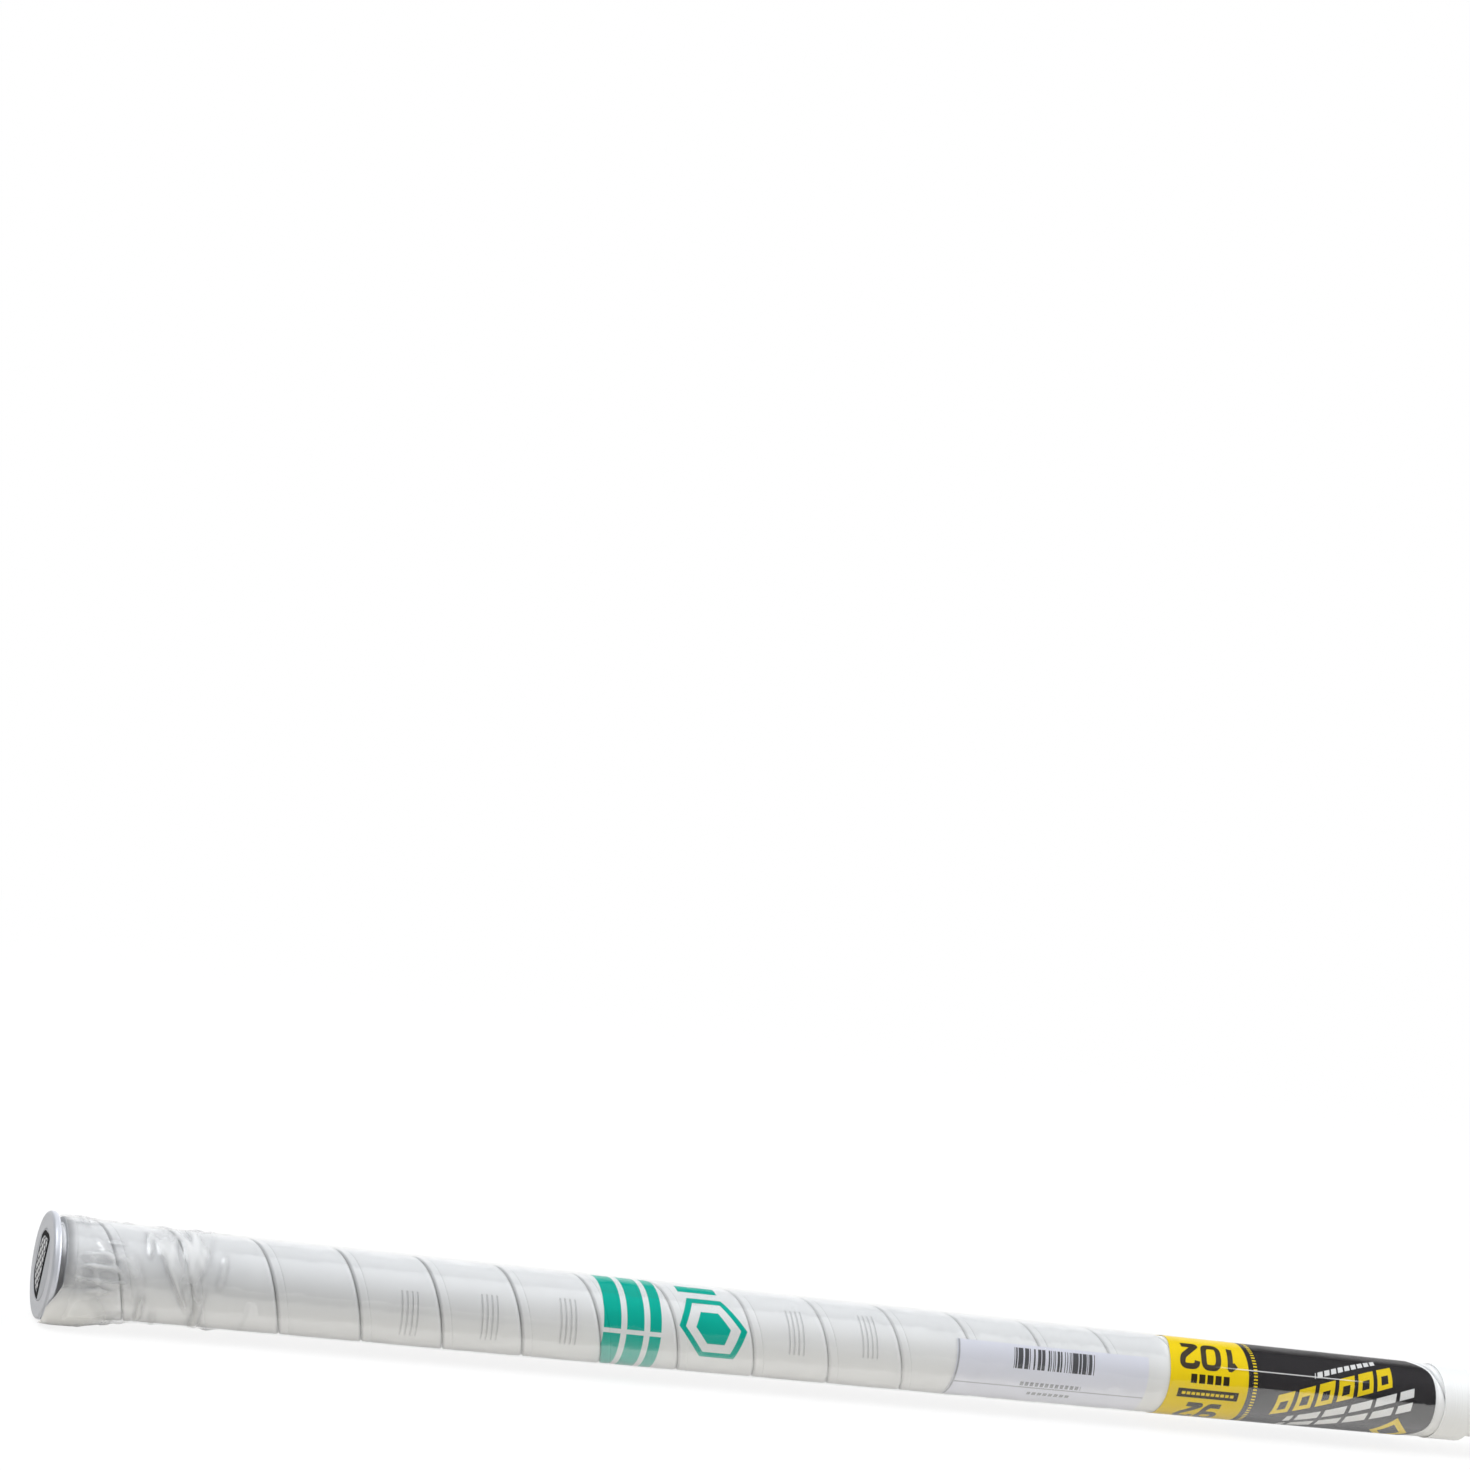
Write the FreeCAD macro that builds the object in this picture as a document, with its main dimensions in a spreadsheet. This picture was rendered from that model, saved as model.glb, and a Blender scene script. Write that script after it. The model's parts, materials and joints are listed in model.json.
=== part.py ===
import FreeCAD, Part
import Sketcher
import math
import os
import re

# Floorball stick: a tapered composite shaft with a plugged and taped grip at its butt and a moulded,
# hooked blade at its tip. Millimetres. The origin is the centre of the butt face, +X runs down the
# shaft to the blade and +Z is up while the stick lies on a floor.

# Driving dimensions, in millimetres, degrees and counts.
SIZES = {
    # Overall
    "stick_length": 1020,        # butt face to the blade's running edge, along the shaft
    "blade_drop": 100,           # the tube's lower end to the running edge, along the shaft
    # Shaft tube
    "shaft_top_radius": 12.75,
    "shaft_low_radius": 10.9,
    "shaft_taper_end": 520,      # the tube is straight below this distance from the butt
    "shaft_wall": 1.7,
    # End cap: flange, hollow plug and crush ribs
    "cap_flange_radius": 16.6,
    "cap_flange_thick": 2.6,
    "cap_edge_bevel": 1.0,
    "cap_seat_gap": 0.1,         # flange to the tube's rim
    "cap_plug_length": 34,
    "cap_plug_gap": 0.5,         # plug to the tube's bore
    "cap_plug_wall": 1.8,
    "cap_hollow_depth": 0.6,     # how far the plug's hollow reaches into the flange
    "cap_rib_width": 1.2,
    "cap_rib_root": 0.6,         # how deep a rib is rooted in the plug's wall
    "cap_rib_fit": 0.06,         # rib crest to bore
    "cap_rib_lead": 5,           # plain length at the plug's nose
    "cap_rib_count": 8,
    # Round badge let into the cap's face
    "badge_radius": 11,
    "badge_thick": 0.8,
    "badge_gap": 0.1,
    # Wound grip tape over a tapered butt wedge
    "layer_gap": 0.1,            # adhesive between two layers
    "tape_start": 4.5,
    "tape_end": 512,
    "tape_thick": 1.7,
    "tape_pitch": 26.86,
    "tape_seam": 0.6,            # open seam between two turns
    "tape_seam_offset": 17.2,    # where a seam crosses the side that faces -Y, if all turns were alike
    "tape_first_shift": 4.4,     # how much further down the first seam lies, as the first turn is tighter
    "tape_tip": 2.0,             # width of the strip's cut tips
    "flare_rise": 0.8,
    "flare_length": 29,
    "wedge_lip": 0.3,            # rise that is left where the wedge ends
    # Printed labels and the clear film round the grip
    "label_gap": 0.15,
    "label_thick": 0.12,
    "size_label_start": 387.5,
    "size_label_end": 495,
    "code_label_start": 306,
    "code_label_end": 379,
    "code_label_span": 98,       # degrees round the grip
    "code_label_turn": 35,       # degrees from -Y up to its upper edge
    "film_gap": 0.15,
    "film_thick": 0.15,
    "film_end": 496,
    # Finishing tape that closes the grip's lower end
    "finish_start": 499,
    "finish_end": 522,
    "finish_thick": 0.3,
    "finish_slope": 1.5,
    # Blade: plate, rim, ribs and hook
    "blade_lie": 57,             # degrees between the shaft and the running edge
    "blade_toe_reach": 206,      # shaft axis to toe, along the running edge
    "blade_height": 66,
    "blade_rise": 11,            # how much higher the blade stands at the heel
    "blade_toe_rake": 16,
    "blade_heel_round": 45,
    "blade_toe_round": 37,
    "blade_tip_round": 20,
    "blade_throat_round": 34,
    "blade_rim_thick": 9,
    "blade_web_thick": 6.2,
    "blade_rim_width": 6.5,
    "blade_edge_bevel": 1.8,
    "hook_start": 8,
    "hook_radius": 520,
    # Blade windows
    "window_rows": 4,
    "window_columns": 3,
    "window_margin": 10,         # edge of the blade to its first and last row
    "window_rib": 4,
    "window_bridge": 6,
    "window_round": 3,
    "window_heel": 18,           # shaft axis to the first window, on the bottom row
    "window_toe_margin": 18,     # last window to the toe, on the middle rows
    "window_toe_cut": 13,        # how much shorter the outer rows are
    # Blade socket and neck
    "socket_radius": 15.4,
    "socket_mouth_radius": 16.6,
    "socket_mouth_length": 9,
    "socket_depth": 65,
    "socket_fit": 0.15,
    "neck_end": 34,              # running edge to the neck's lower end, along the shaft
    "neck_end_thick": 9.4,
    # Blade screw
    "screw_inset": 35,           # the tube's lower end to the screw
    "screw_radius": 1.6,
    "screw_hole_gap": 0.12,
    "screw_head_radius": 3.2,
    "screw_head_height": 1.8,
    "screw_head_gap": 0.2,
    "screw_reach": 1.2,          # how far the tip stands inside the tube
    "screw_slot_width": 0.9,
    "screw_slot_depth": 0.8,
}

doc = FreeCAD.newDocument("floorball_stick")
sheet = doc.addObject("Spreadsheet::Sheet", "Sizes")
for row, (alias, value) in enumerate(SIZES.items(), start=1):
    sheet.set(f"A{row}", str(value))
    sheet.setAlias(f"A{row}", alias)
doc.recompute()


def size(alias):
    """The value of one cell of the sheet."""
    return float(sheet.get(alias))


def bound(formula):
    """A formula in the sheet's words, as an expression on the sheet's cells."""
    return re.sub(r"[a-z_]{3,}", lambda word: "Sizes." + word.group(0), formula)


# Sketch helpers: every corner of a profile is tied to the sketch's origin by two formulas.

def new_sketch(body, name, role):
    sketch = body.newObject("Sketcher::SketchObject", name)
    plane = next(item for item in body.Origin.OriginFeatures if item.Role == role)
    sketch.AttachmentSupport = [(plane, "")]
    sketch.MapMode = "FlatFace"
    return sketch


def tie_point(sketch, shape, end, across, up):
    for kind, formula, axis in (("DistanceX", across, -2), ("DistanceY", up, -1)):
        if formula == "0":
            sketch.addConstraint(Sketcher.Constraint("PointOnObject", shape, end, axis))
            continue
        if formula.startswith("-"):
            formula = formula[1:]
            ends = (shape, end, -1, 1)
        else:
            ends = (-1, 1, shape, end)
        index = sketch.addConstraint(Sketcher.Constraint(kind, *ends, 1.0))
        sketch.setExpression(f"Constraints[{index}]", bound(formula))


def straight_spline(begin, finish):
    """A straight line as a spline: turned about an axis it makes a lighter face than a cone."""
    spline = Part.BSplineCurve()
    spline.buildFromPolesMultsKnots([begin, finish], [2, 2], [0, 1], False, 1)
    return spline


def draw_polygon(sketch, corners, light_tapers=False):
    """A closed profile through (across, up) formulas. Light tapers are the sides along neither axis."""
    count = len(corners)
    angles = [2 * math.pi * i / count for i in range(count)]
    start = [FreeCAD.Vector(9 + 3 * math.cos(a), 9 + 3 * math.sin(a), 0) for a in angles]
    sides = []
    for i in range(count):
        j = (i + 1) % count
        tapered = corners[i][0] != corners[j][0] and corners[i][1] != corners[j][1]
        draw = straight_spline if tapered and light_tapers else Part.LineSegment
        sides.append(sketch.addGeometry(draw(start[i], start[j])))
    for i in range(count):
        sketch.addConstraint(Sketcher.Constraint("Coincident", sides[i], 2, sides[(i + 1) % count], 1))
    for side, (across, up) in zip(sides, corners):
        tie_point(sketch, side, 1, across, up)


def draw_circle(sketch, across, up, radius):
    circle = sketch.addGeometry(Part.Circle(FreeCAD.Vector(5, 5, 0), FreeCAD.Vector(0, 0, 1), 1))
    tie_point(sketch, circle, 3, across, up)
    index = sketch.addConstraint(Sketcher.Constraint("Radius", circle, 1.0))
    sketch.setExpression(f"Constraints[{index}]", bound(radius))


def turned_body(label, corners, angle=None, light_tapers=True):
    """A body turned about the X axis from a closed profile of (distance, radius) formulas."""
    body = doc.addObject("PartDesign::Body", label)
    sketch = new_sketch(body, label + "_profile", "XY_Plane")
    draw_polygon(sketch, corners, light_tapers)
    turn = body.newObject("PartDesign::Revolution", label + "_turn")
    turn.Profile = sketch
    turn.ReferenceAxis = (sketch, ["H_Axis"])
    turn.Angle = 360
    if angle:
        turn.setExpression("Angle", bound(angle))
    doc.recompute()
    return body


# The tube's outside radius, as a formula and as a number.

def tube_formula(distance):
    return f"shaft_top_radius - (shaft_top_radius - shaft_low_radius) * ({distance}) / shaft_taper_end"


TUBE_END = "stick_length - blade_drop"
SCREW_PLACE = TUBE_END + " - screw_inset"


def tube_radius(distance):
    share = min(distance / size("shaft_taper_end"), 1.0)
    return size("shaft_top_radius") - (size("shaft_top_radius") - size("shaft_low_radius")) * share


# Shaft: a thin tube, tapered under the grip and straight below it, with the screw's hole near its end.

def make_shaft():
    top = "cap_flange_thick + cap_seat_gap"
    shaft = turned_body("shaft", [
        (top, tube_formula(top)),
        ("shaft_taper_end", "shaft_low_radius"),
        (TUBE_END, "shaft_low_radius"),
        (TUBE_END, "shaft_low_radius - shaft_wall"),
        ("shaft_taper_end", "shaft_low_radius - shaft_wall"),
        (top, tube_formula(top) + " - shaft_wall"),
    ])
    before = shaft.Shape.Volume
    hole = new_sketch(shaft, "shaft_hole_circle", "XZ_Plane")
    draw_circle(hole, SCREW_PLACE, "0", "screw_radius + screw_hole_gap")
    pocket = shaft.newObject("PartDesign::Pocket", "shaft_hole")
    pocket.Profile = hole
    pocket.Type = 0
    pocket.setExpression("Length", bound("shaft_low_radius + shaft_wall"))
    doc.recompute()
    if not shaft.Shape.Volume < before:
        raise ValueError("the screw's hole cuts nothing from the shaft")
    return shaft


# End cap: a flange with eased edges and a shallow seat for the badge, and a hollow plug with crush ribs.

EASED = " * 0.293"


def make_end_cap():
    back = "cap_flange_thick"
    nose = "cap_flange_thick + cap_plug_length"
    bore = tube_formula(nose) + " - shaft_wall"
    plug = bore + " - cap_plug_gap"
    cap = turned_body("end_cap", [
        ("badge_thick + badge_gap", "0"),
        ("badge_thick + badge_gap", "badge_radius + badge_gap"),
        ("0", "badge_radius + badge_gap"),
        ("0", "cap_flange_radius - cap_edge_bevel"),
        ("cap_edge_bevel" + EASED, "cap_flange_radius - cap_edge_bevel" + EASED),
        ("cap_edge_bevel", "cap_flange_radius"),
        (back + " - cap_edge_bevel", "cap_flange_radius"),
        (back + " - cap_edge_bevel" + EASED, "cap_flange_radius - cap_edge_bevel" + EASED),
        (back, "cap_flange_radius - cap_edge_bevel"),
        (back, plug),
        (nose, plug),
        (nose, plug + " - cap_plug_wall"),
        (back + " - cap_hollow_depth", plug + " - cap_plug_wall"),
        (back + " - cap_hollow_depth", "0"),
    ])
    rib = new_sketch(cap, "end_cap_rib_section", "XY_Plane")
    draw_polygon(rib, [
        (back + " - cap_hollow_depth / 2", plug + " - cap_rib_root"),
        (nose + " - cap_rib_lead", plug + " - cap_rib_root"),
        (nose + " - cap_rib_lead", plug),
        (nose + " - 2 * cap_rib_lead", bore + " - cap_rib_fit"),
        (back + " - cap_hollow_depth / 2", bore + " - cap_rib_fit"),
    ])
    pad = cap.newObject("PartDesign::Pad", "end_cap_rib")
    pad.Profile = rib
    pad.Midplane = True
    pad.setExpression("Length", bound("cap_rib_width"))
    doc.recompute()
    ring = cap.newObject("PartDesign::PolarPattern", "end_cap_ribs")
    ring.Originals = [pad]
    ring.Axis = (rib, ["H_Axis"])
    ring.Angle = 360
    ring.setExpression("Occurrences", bound("cap_rib_count"))
    cap.Tip = ring
    doc.recompute()
    return cap


def make_badge():
    return turned_body("cap_badge", [
        ("0", "0"),
        ("0", "badge_radius"),
        ("badge_thick", "badge_radius"),
        ("badge_thick", "0"),
    ])


# Butt wedge: a tapered ring on the tube, which swells the taped grip towards the flange.

def make_wedge():
    top = "tape_start"
    low = "tape_start + flare_length * (1 - wedge_lip / flare_rise)"
    return turned_body("butt_wedge", [
        (top, tube_formula(top) + " + layer_gap"),
        (top, tube_formula(top) + " + flare_rise"),
        (low, tube_formula(low) + " + wedge_lip"),
        (low, tube_formula(top) + " + layer_gap"),
    ], light_tapers=False)


# Grip tape: one unbroken strip wound round the wedge and the tube, with square-cut ends and an open seam
# between its turns. Angles count turns from the side that faces -Y, downwards.

def tape_bed(distance):
    """The radius that the tape lies on."""
    flare = max(1 - (distance - size("tape_start")) / size("flare_length"), 0)
    return tube_radius(distance) + size("layer_gap") + size("flare_rise") * flare


def on_grip(distance, turns, height):
    radius = tape_bed(distance) + height
    angle = 2 * math.pi * turns
    return FreeCAD.Vector(distance, -radius * math.cos(angle), -radius * math.sin(angle))


def ruled_face(one, two):
    """The face of the straight lines between two curves that share their parameters."""
    surface = Part.BSplineSurface()
    surface.buildFromPolesMultsKnots(
        [list(pair) for pair in zip(one.getPoles(), two.getPoles())],
        one.getMultiplicities(), [2, 2], one.getKnots(), [0, 1], False, False, one.Degree, 1)
    return surface.toShape()


def make_tape():
    pitch = size("tape_pitch")
    seam = size("tape_seam")
    offset = size("tape_seam_offset")
    shift = size("tape_first_shift")
    thick = size("tape_thick")
    start = size("tape_start")
    end = size("tape_end")
    tip = size("tape_tip")

    def seam_middle(turns):
        left = min(max(1 - turns, 0), 1)
        return offset + pitch * turns + shift * left * left * (3 - 2 * left)

    def lead(turns):
        return max(start, seam_middle(turns) + seam / 2)

    def trail(turns):
        return min(end, seam_middle(turns + 1) - seam / 2)

    stops = [
        (start + tip - offset - shift + seam / 2) / pitch - 1,
        (start - offset - shift - seam / 2) / pitch,
        (end - offset + seam / 2) / pitch - 1,
        (end - tip - offset - seam / 2) / pitch,
    ]
    steps_per_turn = 12
    faces = []
    for first, last in zip(stops, stops[1:]):
        count = math.ceil((last - first) * steps_per_turn)
        turns = [first + (last - first) * i / count for i in range(count + 1)]
        rails = {}
        for side, edge_of in (("lead", lead), ("trail", trail)):
            for level, height in (("in", 0), ("out", thick)):
                curve = Part.BSplineCurve()
                curve.interpolate(Points=[on_grip(edge_of(a), a, height) for a in turns], Parameters=turns)
                rails[side, level] = curve
        for one, two in ((("lead", "out"), ("trail", "out")), (("lead", "in"), ("trail", "in")),
                         (("lead", "in"), ("lead", "out")), (("trail", "in"), ("trail", "out"))):
            faces.append(ruled_face(rails[one], rails[two]))
    for a in (stops[0], stops[-1]):
        corners = ((lead, 0), (trail, 0), (trail, thick), (lead, thick), (lead, 0))
        cut_end = Part.makePolygon([on_grip(edge_of(a), a, height) for edge_of, height in corners])
        faces.append(Part.Face(cut_end))
    shell = Part.makeShell(faces)
    shell.sewShape()
    solid = Part.makeSolid(shell)
    if solid.Volume < 0:
        solid.reverse()
    tape = doc.addObject("Part::Feature", "grip_tape")
    tape.Shape = solid

    samples = [stops[1] + (stops[2] - stops[1] - 1) * i / 600 for i in range(601)]
    least = min(on_grip(trail(a), a, h).distanceToPoint(on_grip(lead(a + 1), a + 1, h))
                for a in samples for h in (0, thick))
    print(f"grip_tape: {stops[-1] - stops[0]:.1f} turns, least gap to itself {least:.2f} mm")
    return tape


# Printed labels, clear film and finishing tape: thin sleeves that follow the wound grip's taper.

def sleeve_corners(start, end, gap, thick):
    return [
        (start, tube_formula(start) + gap),
        (start, tube_formula(start) + gap + thick),
        (end, tube_formula(end) + gap + thick),
        (end, tube_formula(end) + gap),
    ]


ON_TAPE = " + layer_gap + tape_thick"
ON_LABEL = ON_TAPE + " + label_gap + label_thick + film_gap"


def make_size_label():
    return turned_body("size_label", sleeve_corners(
        "size_label_start", "size_label_end", ON_TAPE + " + label_gap", " + label_thick"))


def make_code_label():
    corners = sleeve_corners("code_label_start", "code_label_end", ON_TAPE + " + label_gap", " + label_thick")
    label = turned_body("code_label", corners, "code_label_span")
    turn = 180 - size("code_label_turn")
    label.Placement = FreeCAD.Placement(FreeCAD.Vector(), FreeCAD.Rotation(FreeCAD.Vector(1, 0, 0), turn))
    return label


def make_film():
    top = "tape_start"
    bend = "tape_start + flare_length"
    return turned_body("shrink_film", [
        (top, tube_formula(top) + ON_LABEL + " + flare_rise"),
        (top, tube_formula(top) + ON_LABEL + " + flare_rise + film_thick"),
        (bend, tube_formula(bend) + ON_LABEL + " + film_thick"),
        ("film_end", tube_formula("film_end") + ON_LABEL + " + film_thick"),
        ("film_end", tube_formula("film_end") + ON_LABEL),
        (bend, tube_formula(bend) + ON_LABEL),
    ])


def make_finish_tape():
    step = "tape_end + layer_gap"
    slope = "tape_end + layer_gap + finish_slope"
    return turned_body("finish_tape", [
        ("finish_start", tube_formula("finish_start") + ON_TAPE + " + layer_gap"),
        ("finish_start", tube_formula("finish_start") + ON_TAPE + " + layer_gap + finish_thick"),
        (step, tube_formula(step) + ON_TAPE + " + layer_gap + finish_thick"),
        (slope, tube_formula(slope) + " + layer_gap + finish_thick"),
        ("finish_end", "shaft_low_radius + layer_gap + finish_thick"),
        ("finish_end", "shaft_low_radius + layer_gap"),
        ("shaft_taper_end", "shaft_low_radius + layer_gap"),
        (step, tube_formula(step) + " + layer_gap"),
        (step, tube_formula(step) + ON_TAPE + " + layer_gap"),
    ])


# Blade. It is drawn in its own plane: the first axis runs along the running edge from the shaft's axis to
# the toe, the second one up to the socket, and the third one is the side that the toe hooks to.

def rounded_outline(corners):
    """A closed wire through (along, up, radius) corners. Rounds too large for their side shrink to fit."""
    count = len(corners)
    points = [FreeCAD.Vector(along, up, 0) for along, up, _ in corners]
    radii = [radius for _, _, radius in corners]
    backs = [(points[i - 1] - points[i]).normalize() for i in range(count)]
    aheads = [(points[(i + 1) % count] - points[i]).normalize() for i in range(count)]
    halves = [back.getAngle(ahead) / 2 for back, ahead in zip(backs, aheads)]
    for i in range(count):
        j = (i + 1) % count
        needed = radii[i] / math.tan(halves[i]) + radii[j] / math.tan(halves[j])
        share = min(0.98 * points[i].distanceToPoint(points[j]) / max(needed, 1e-9), 1)
        radii[i] *= share
        radii[j] *= share
    begins = [points[i] + backs[i] * (radii[i] / math.tan(halves[i])) for i in range(count)]
    finishes = [points[i] + aheads[i] * (radii[i] / math.tan(halves[i])) for i in range(count)]
    edges = []
    for i in range(count):
        if radii[i] > 0:
            inward = (backs[i] + aheads[i]).normalize()
            middle = points[i] + inward * (radii[i] / math.sin(halves[i]) - radii[i])
            edges.append(Part.Arc(begins[i], middle, finishes[i]).toShape())
        edges.append(Part.LineSegment(finishes[i], begins[(i + 1) % count]).toShape())
    return Part.Wire(edges)


def prism(wire, depth):
    """A prism on a wire of the blade's plane, as deep on both sides of it."""
    face = Part.Face(wire)
    face.translate(FreeCAD.Vector(0, 0, -depth))
    return face.extrude(FreeCAD.Vector(0, 0, 2 * depth))


def hooked_slab(thick):
    """A slab that is flat at the heel and bends round the hook's radius towards the toe."""
    start = size("hook_start")
    radius = size("hook_radius")
    reach = size("blade_toe_reach") + 40
    height = size("blade_drop") + 2 * size("socket_depth")
    heel_low = FreeCAD.Vector(-2 * size("blade_toe_reach"), -height, -thick / 2)
    heel_high = FreeCAD.Vector(-2 * size("blade_toe_reach"), -height, thick / 2)
    sweep = math.asin(min((reach - start) / radius, 0.9))

    def on_arc(angle, offset):
        return FreeCAD.Vector(start + (radius + offset) * math.sin(angle), -height,
                              radius - (radius + offset) * math.cos(angle))

    outer = [on_arc(sweep * share, thick / 2) for share in (0, 0.5, 1)]
    inner = [on_arc(sweep * share, -thick / 2) for share in (1, 0.5, 0)]
    edges = [
        Part.LineSegment(heel_low, outer[0]).toShape(),
        Part.Arc(*outer).toShape(),
        Part.LineSegment(outer[2], inner[0]).toShape(),
        Part.Arc(*inner).toShape(),
        Part.LineSegment(inner[2], heel_high).toShape(),
        Part.LineSegment(heel_high, heel_low).toShape(),
    ]
    return Part.Face(Part.Wire(edges)).extrude(FreeCAD.Vector(0, 2 * height, 0))


def blade_windows(shaft_up):
    """Rows of windows with slanted bridges between them, shorter on the outer rows."""
    rows = int(size("window_rows"))
    columns = int(size("window_columns"))
    bottom = size("window_margin")
    tall = (size("blade_height") - 2 * bottom - (rows - 1) * size("window_rib")) / rows
    slant = shaft_up.x / shaft_up.y
    lean = slant * tall / 2
    middle = size("blade_height") / 2
    cutters = []
    for row in range(rows):
        low = bottom + row * (tall + size("window_rib"))
        centre = low + tall / 2
        off = (centre - middle) / (middle - bottom)
        first = size("window_heel") + slant * (centre - bottom) * 0.4
        last = size("blade_toe_reach") - size("window_toe_margin") - size("window_toe_cut") * off * off
        long = (last - first - (columns - 1) * size("window_bridge")) / columns
        for column in range(columns):
            left = first + column * (long + size("window_bridge"))
            corners = [
                (left - lean, low, size("window_round")),
                (left + long - lean, low, size("window_round")),
                (left + long + lean, low + tall, size("window_round")),
                (left + lean, low + tall, size("window_round")),
            ]
            cutters.append(prism(rounded_outline(corners), size("hook_radius") / 4))
    return cutters


def rim_edges(plate, up):
    """The edges between the plate's two faces and its rim, but not those where the socket begins."""
    found = []
    for edge in plate.Edges:
        middle = edge.valueAt((edge.FirstParameter + edge.LastParameter) / 2)
        through = edge.BoundBox.ZLength > size("blade_rim_thick") * 0.9 and edge.BoundBox.XLength < 1e-3
        if not through and middle.dot(up) < size("blade_drop") - 1e-3:
            found.append(edge)
    return found


def blade_neck(up, across):
    """A round bar below the socket, which two slanted cuts flatten into the plate."""
    socket = size("socket_radius")
    thin = FreeCAD.Vector(0, 0, size("neck_end_thick") / 2)
    thick = FreeCAD.Vector(0, 0, socket)
    low = up * size("neck_end") - across * (2 * socket)
    high = up * size("blade_drop") - across * (2 * socket)
    wedge = Part.Face(Part.makePolygon([low - thin, high - thick, high + thick, low + thin, low - thin]))
    bar = Part.makeCylinder(socket, size("blade_drop") - size("neck_end"), up * size("neck_end"), up)
    return bar.common(wedge.extrude(across * (4 * socket)))


def blade_solid():
    lie = math.radians(size("blade_lie"))
    up = FreeCAD.Vector(-math.cos(lie), math.sin(lie), 0)
    across = FreeCAD.Vector(math.sin(lie), math.cos(lie), 0)
    tube_end = up * size("blade_drop")
    socket = size("socket_radius")

    # Plate with a bevelled rim, a thinner web and rows of windows.
    heel = across * -socket
    throat = across * socket
    heel_foot = heel - up * (heel.y / up.y)
    top_left = size("blade_height") + size("blade_rise")
    throat_foot = throat + up * ((top_left - throat.y) / up.y)
    outline = rounded_outline([
        ((heel + tube_end).x, (heel + tube_end).y, 0),
        (heel_foot.x, 0, size("blade_heel_round")),
        (size("blade_toe_reach"), 0, size("blade_toe_round")),
        (size("blade_toe_reach") - size("blade_toe_rake"), size("blade_height"), size("blade_tip_round")),
        (throat_foot.x, throat_foot.y, size("blade_throat_round")),
        ((throat + tube_end).x, (throat + tube_end).y, 0),
    ])
    deep = size("hook_radius") / 4
    plate = prism(outline, deep).common(hooked_slab(size("blade_rim_thick")))
    plate = plate.makeChamfer(size("blade_edge_bevel"), rim_edges(plate, up))
    inside = outline.makeOffset2D(-size("blade_rim_width"))
    plate = plate.cut(prism(inside, deep).cut(hooked_slab(size("blade_web_thick"))))
    plate = plate.cut(blade_windows(up))

    # Socket round the tube's end, with a thicker mouth.
    mouth = size("socket_mouth_length")
    lip_start = tube_end + up * (size("socket_depth") - mouth)
    barrel = Part.makeCylinder(socket, size("socket_depth"), tube_end, up)
    lip = Part.makeCylinder(size("socket_mouth_radius"), mouth, lip_start, up)
    flare = Part.makeCone(socket, size("socket_mouth_radius"), mouth, lip_start - up * mouth, up)
    solid = plate.fuse([blade_neck(up, across), barrel, flare, lip]).removeSplitter()
    bore_radius = size("shaft_low_radius") + size("socket_fit")
    solid = solid.cut(Part.makeCylinder(bore_radius, 2 * size("socket_depth"), tube_end, up))

    # Screw hole and head seat on the socket's heel side.
    screw = up * (size("blade_drop") + size("screw_inset"))
    seat_start = screw - across * (socket - size("screw_head_height"))
    shank_radius = size("screw_radius") + size("screw_hole_gap")
    seat_radius = size("screw_head_radius") + size("screw_head_gap")
    shank = Part.makeCylinder(shank_radius, 2 * socket, screw, across * -1)
    seat = Part.makeCylinder(seat_radius, socket, seat_start, across * -1)
    return solid.cut(shank).cut(seat)


def blade_place():
    """Where the blade's own plane stands in the stick's frame, with the hook pointing down."""
    lie = math.radians(size("blade_lie"))
    along = FreeCAD.Vector(math.cos(lie), -math.sin(lie), 0)
    up = FreeCAD.Vector(-math.sin(lie), -math.cos(lie), 0)
    turn = FreeCAD.Rotation(along, up, along.cross(up), "XYZ")
    return FreeCAD.Placement(FreeCAD.Vector(size("stick_length"), 0, 0), turn)


def resting_roll(solid):
    """The turn about the shaft that brings the toe down to the floor the cap's flange lies on."""
    place = blade_place()
    reach = size("blade_toe_reach") / 2
    outer = [point for edge in solid.Edges for point in edge.discretize(Number=7) if point.x > reach]
    points = [place.multVec(point) for point in outer]
    low, high = -30.0, 30.0
    for _ in range(40):
        roll = (low + high) / 2
        turn = FreeCAD.Rotation(FreeCAD.Vector(1, 0, 0), -roll)
        if min(turn.multVec(point).z for point in points) < -size("cap_flange_radius"):
            low = roll
        else:
            high = roll
    return roll


# Blade screw: a slotted head on a short shank, through the socket's wall into the tube.

def make_screw():
    length = "socket_radius - shaft_low_radius + shaft_wall + screw_reach"
    screw = turned_body("blade_screw", [
        ("0", "0"),
        ("0", "screw_head_radius"),
        ("screw_head_height", "screw_head_radius"),
        ("screw_head_height", "screw_radius"),
        (length, "screw_radius"),
        (length + " + screw_radius", "0"),
    ], light_tapers=False)
    before = screw.Shape.Volume
    slot = new_sketch(screw, "blade_screw_slot_outline", "XY_Plane")
    draw_polygon(slot, [
        ("0", "-screw_head_radius * 2"),
        ("screw_slot_depth", "-screw_head_radius * 2"),
        ("screw_slot_depth", "screw_head_radius * 2"),
        ("0", "screw_head_radius * 2"),
    ])
    cut = screw.newObject("PartDesign::Pocket", "blade_screw_slot")
    cut.Profile = slot
    cut.Midplane = True
    cut.Type = 0
    cut.setExpression("Length", bound("screw_slot_width"))
    doc.recompute()
    if not screw.Shape.Volume < before:
        raise ValueError("the slot cuts nothing from the screw")
    return screw


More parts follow.
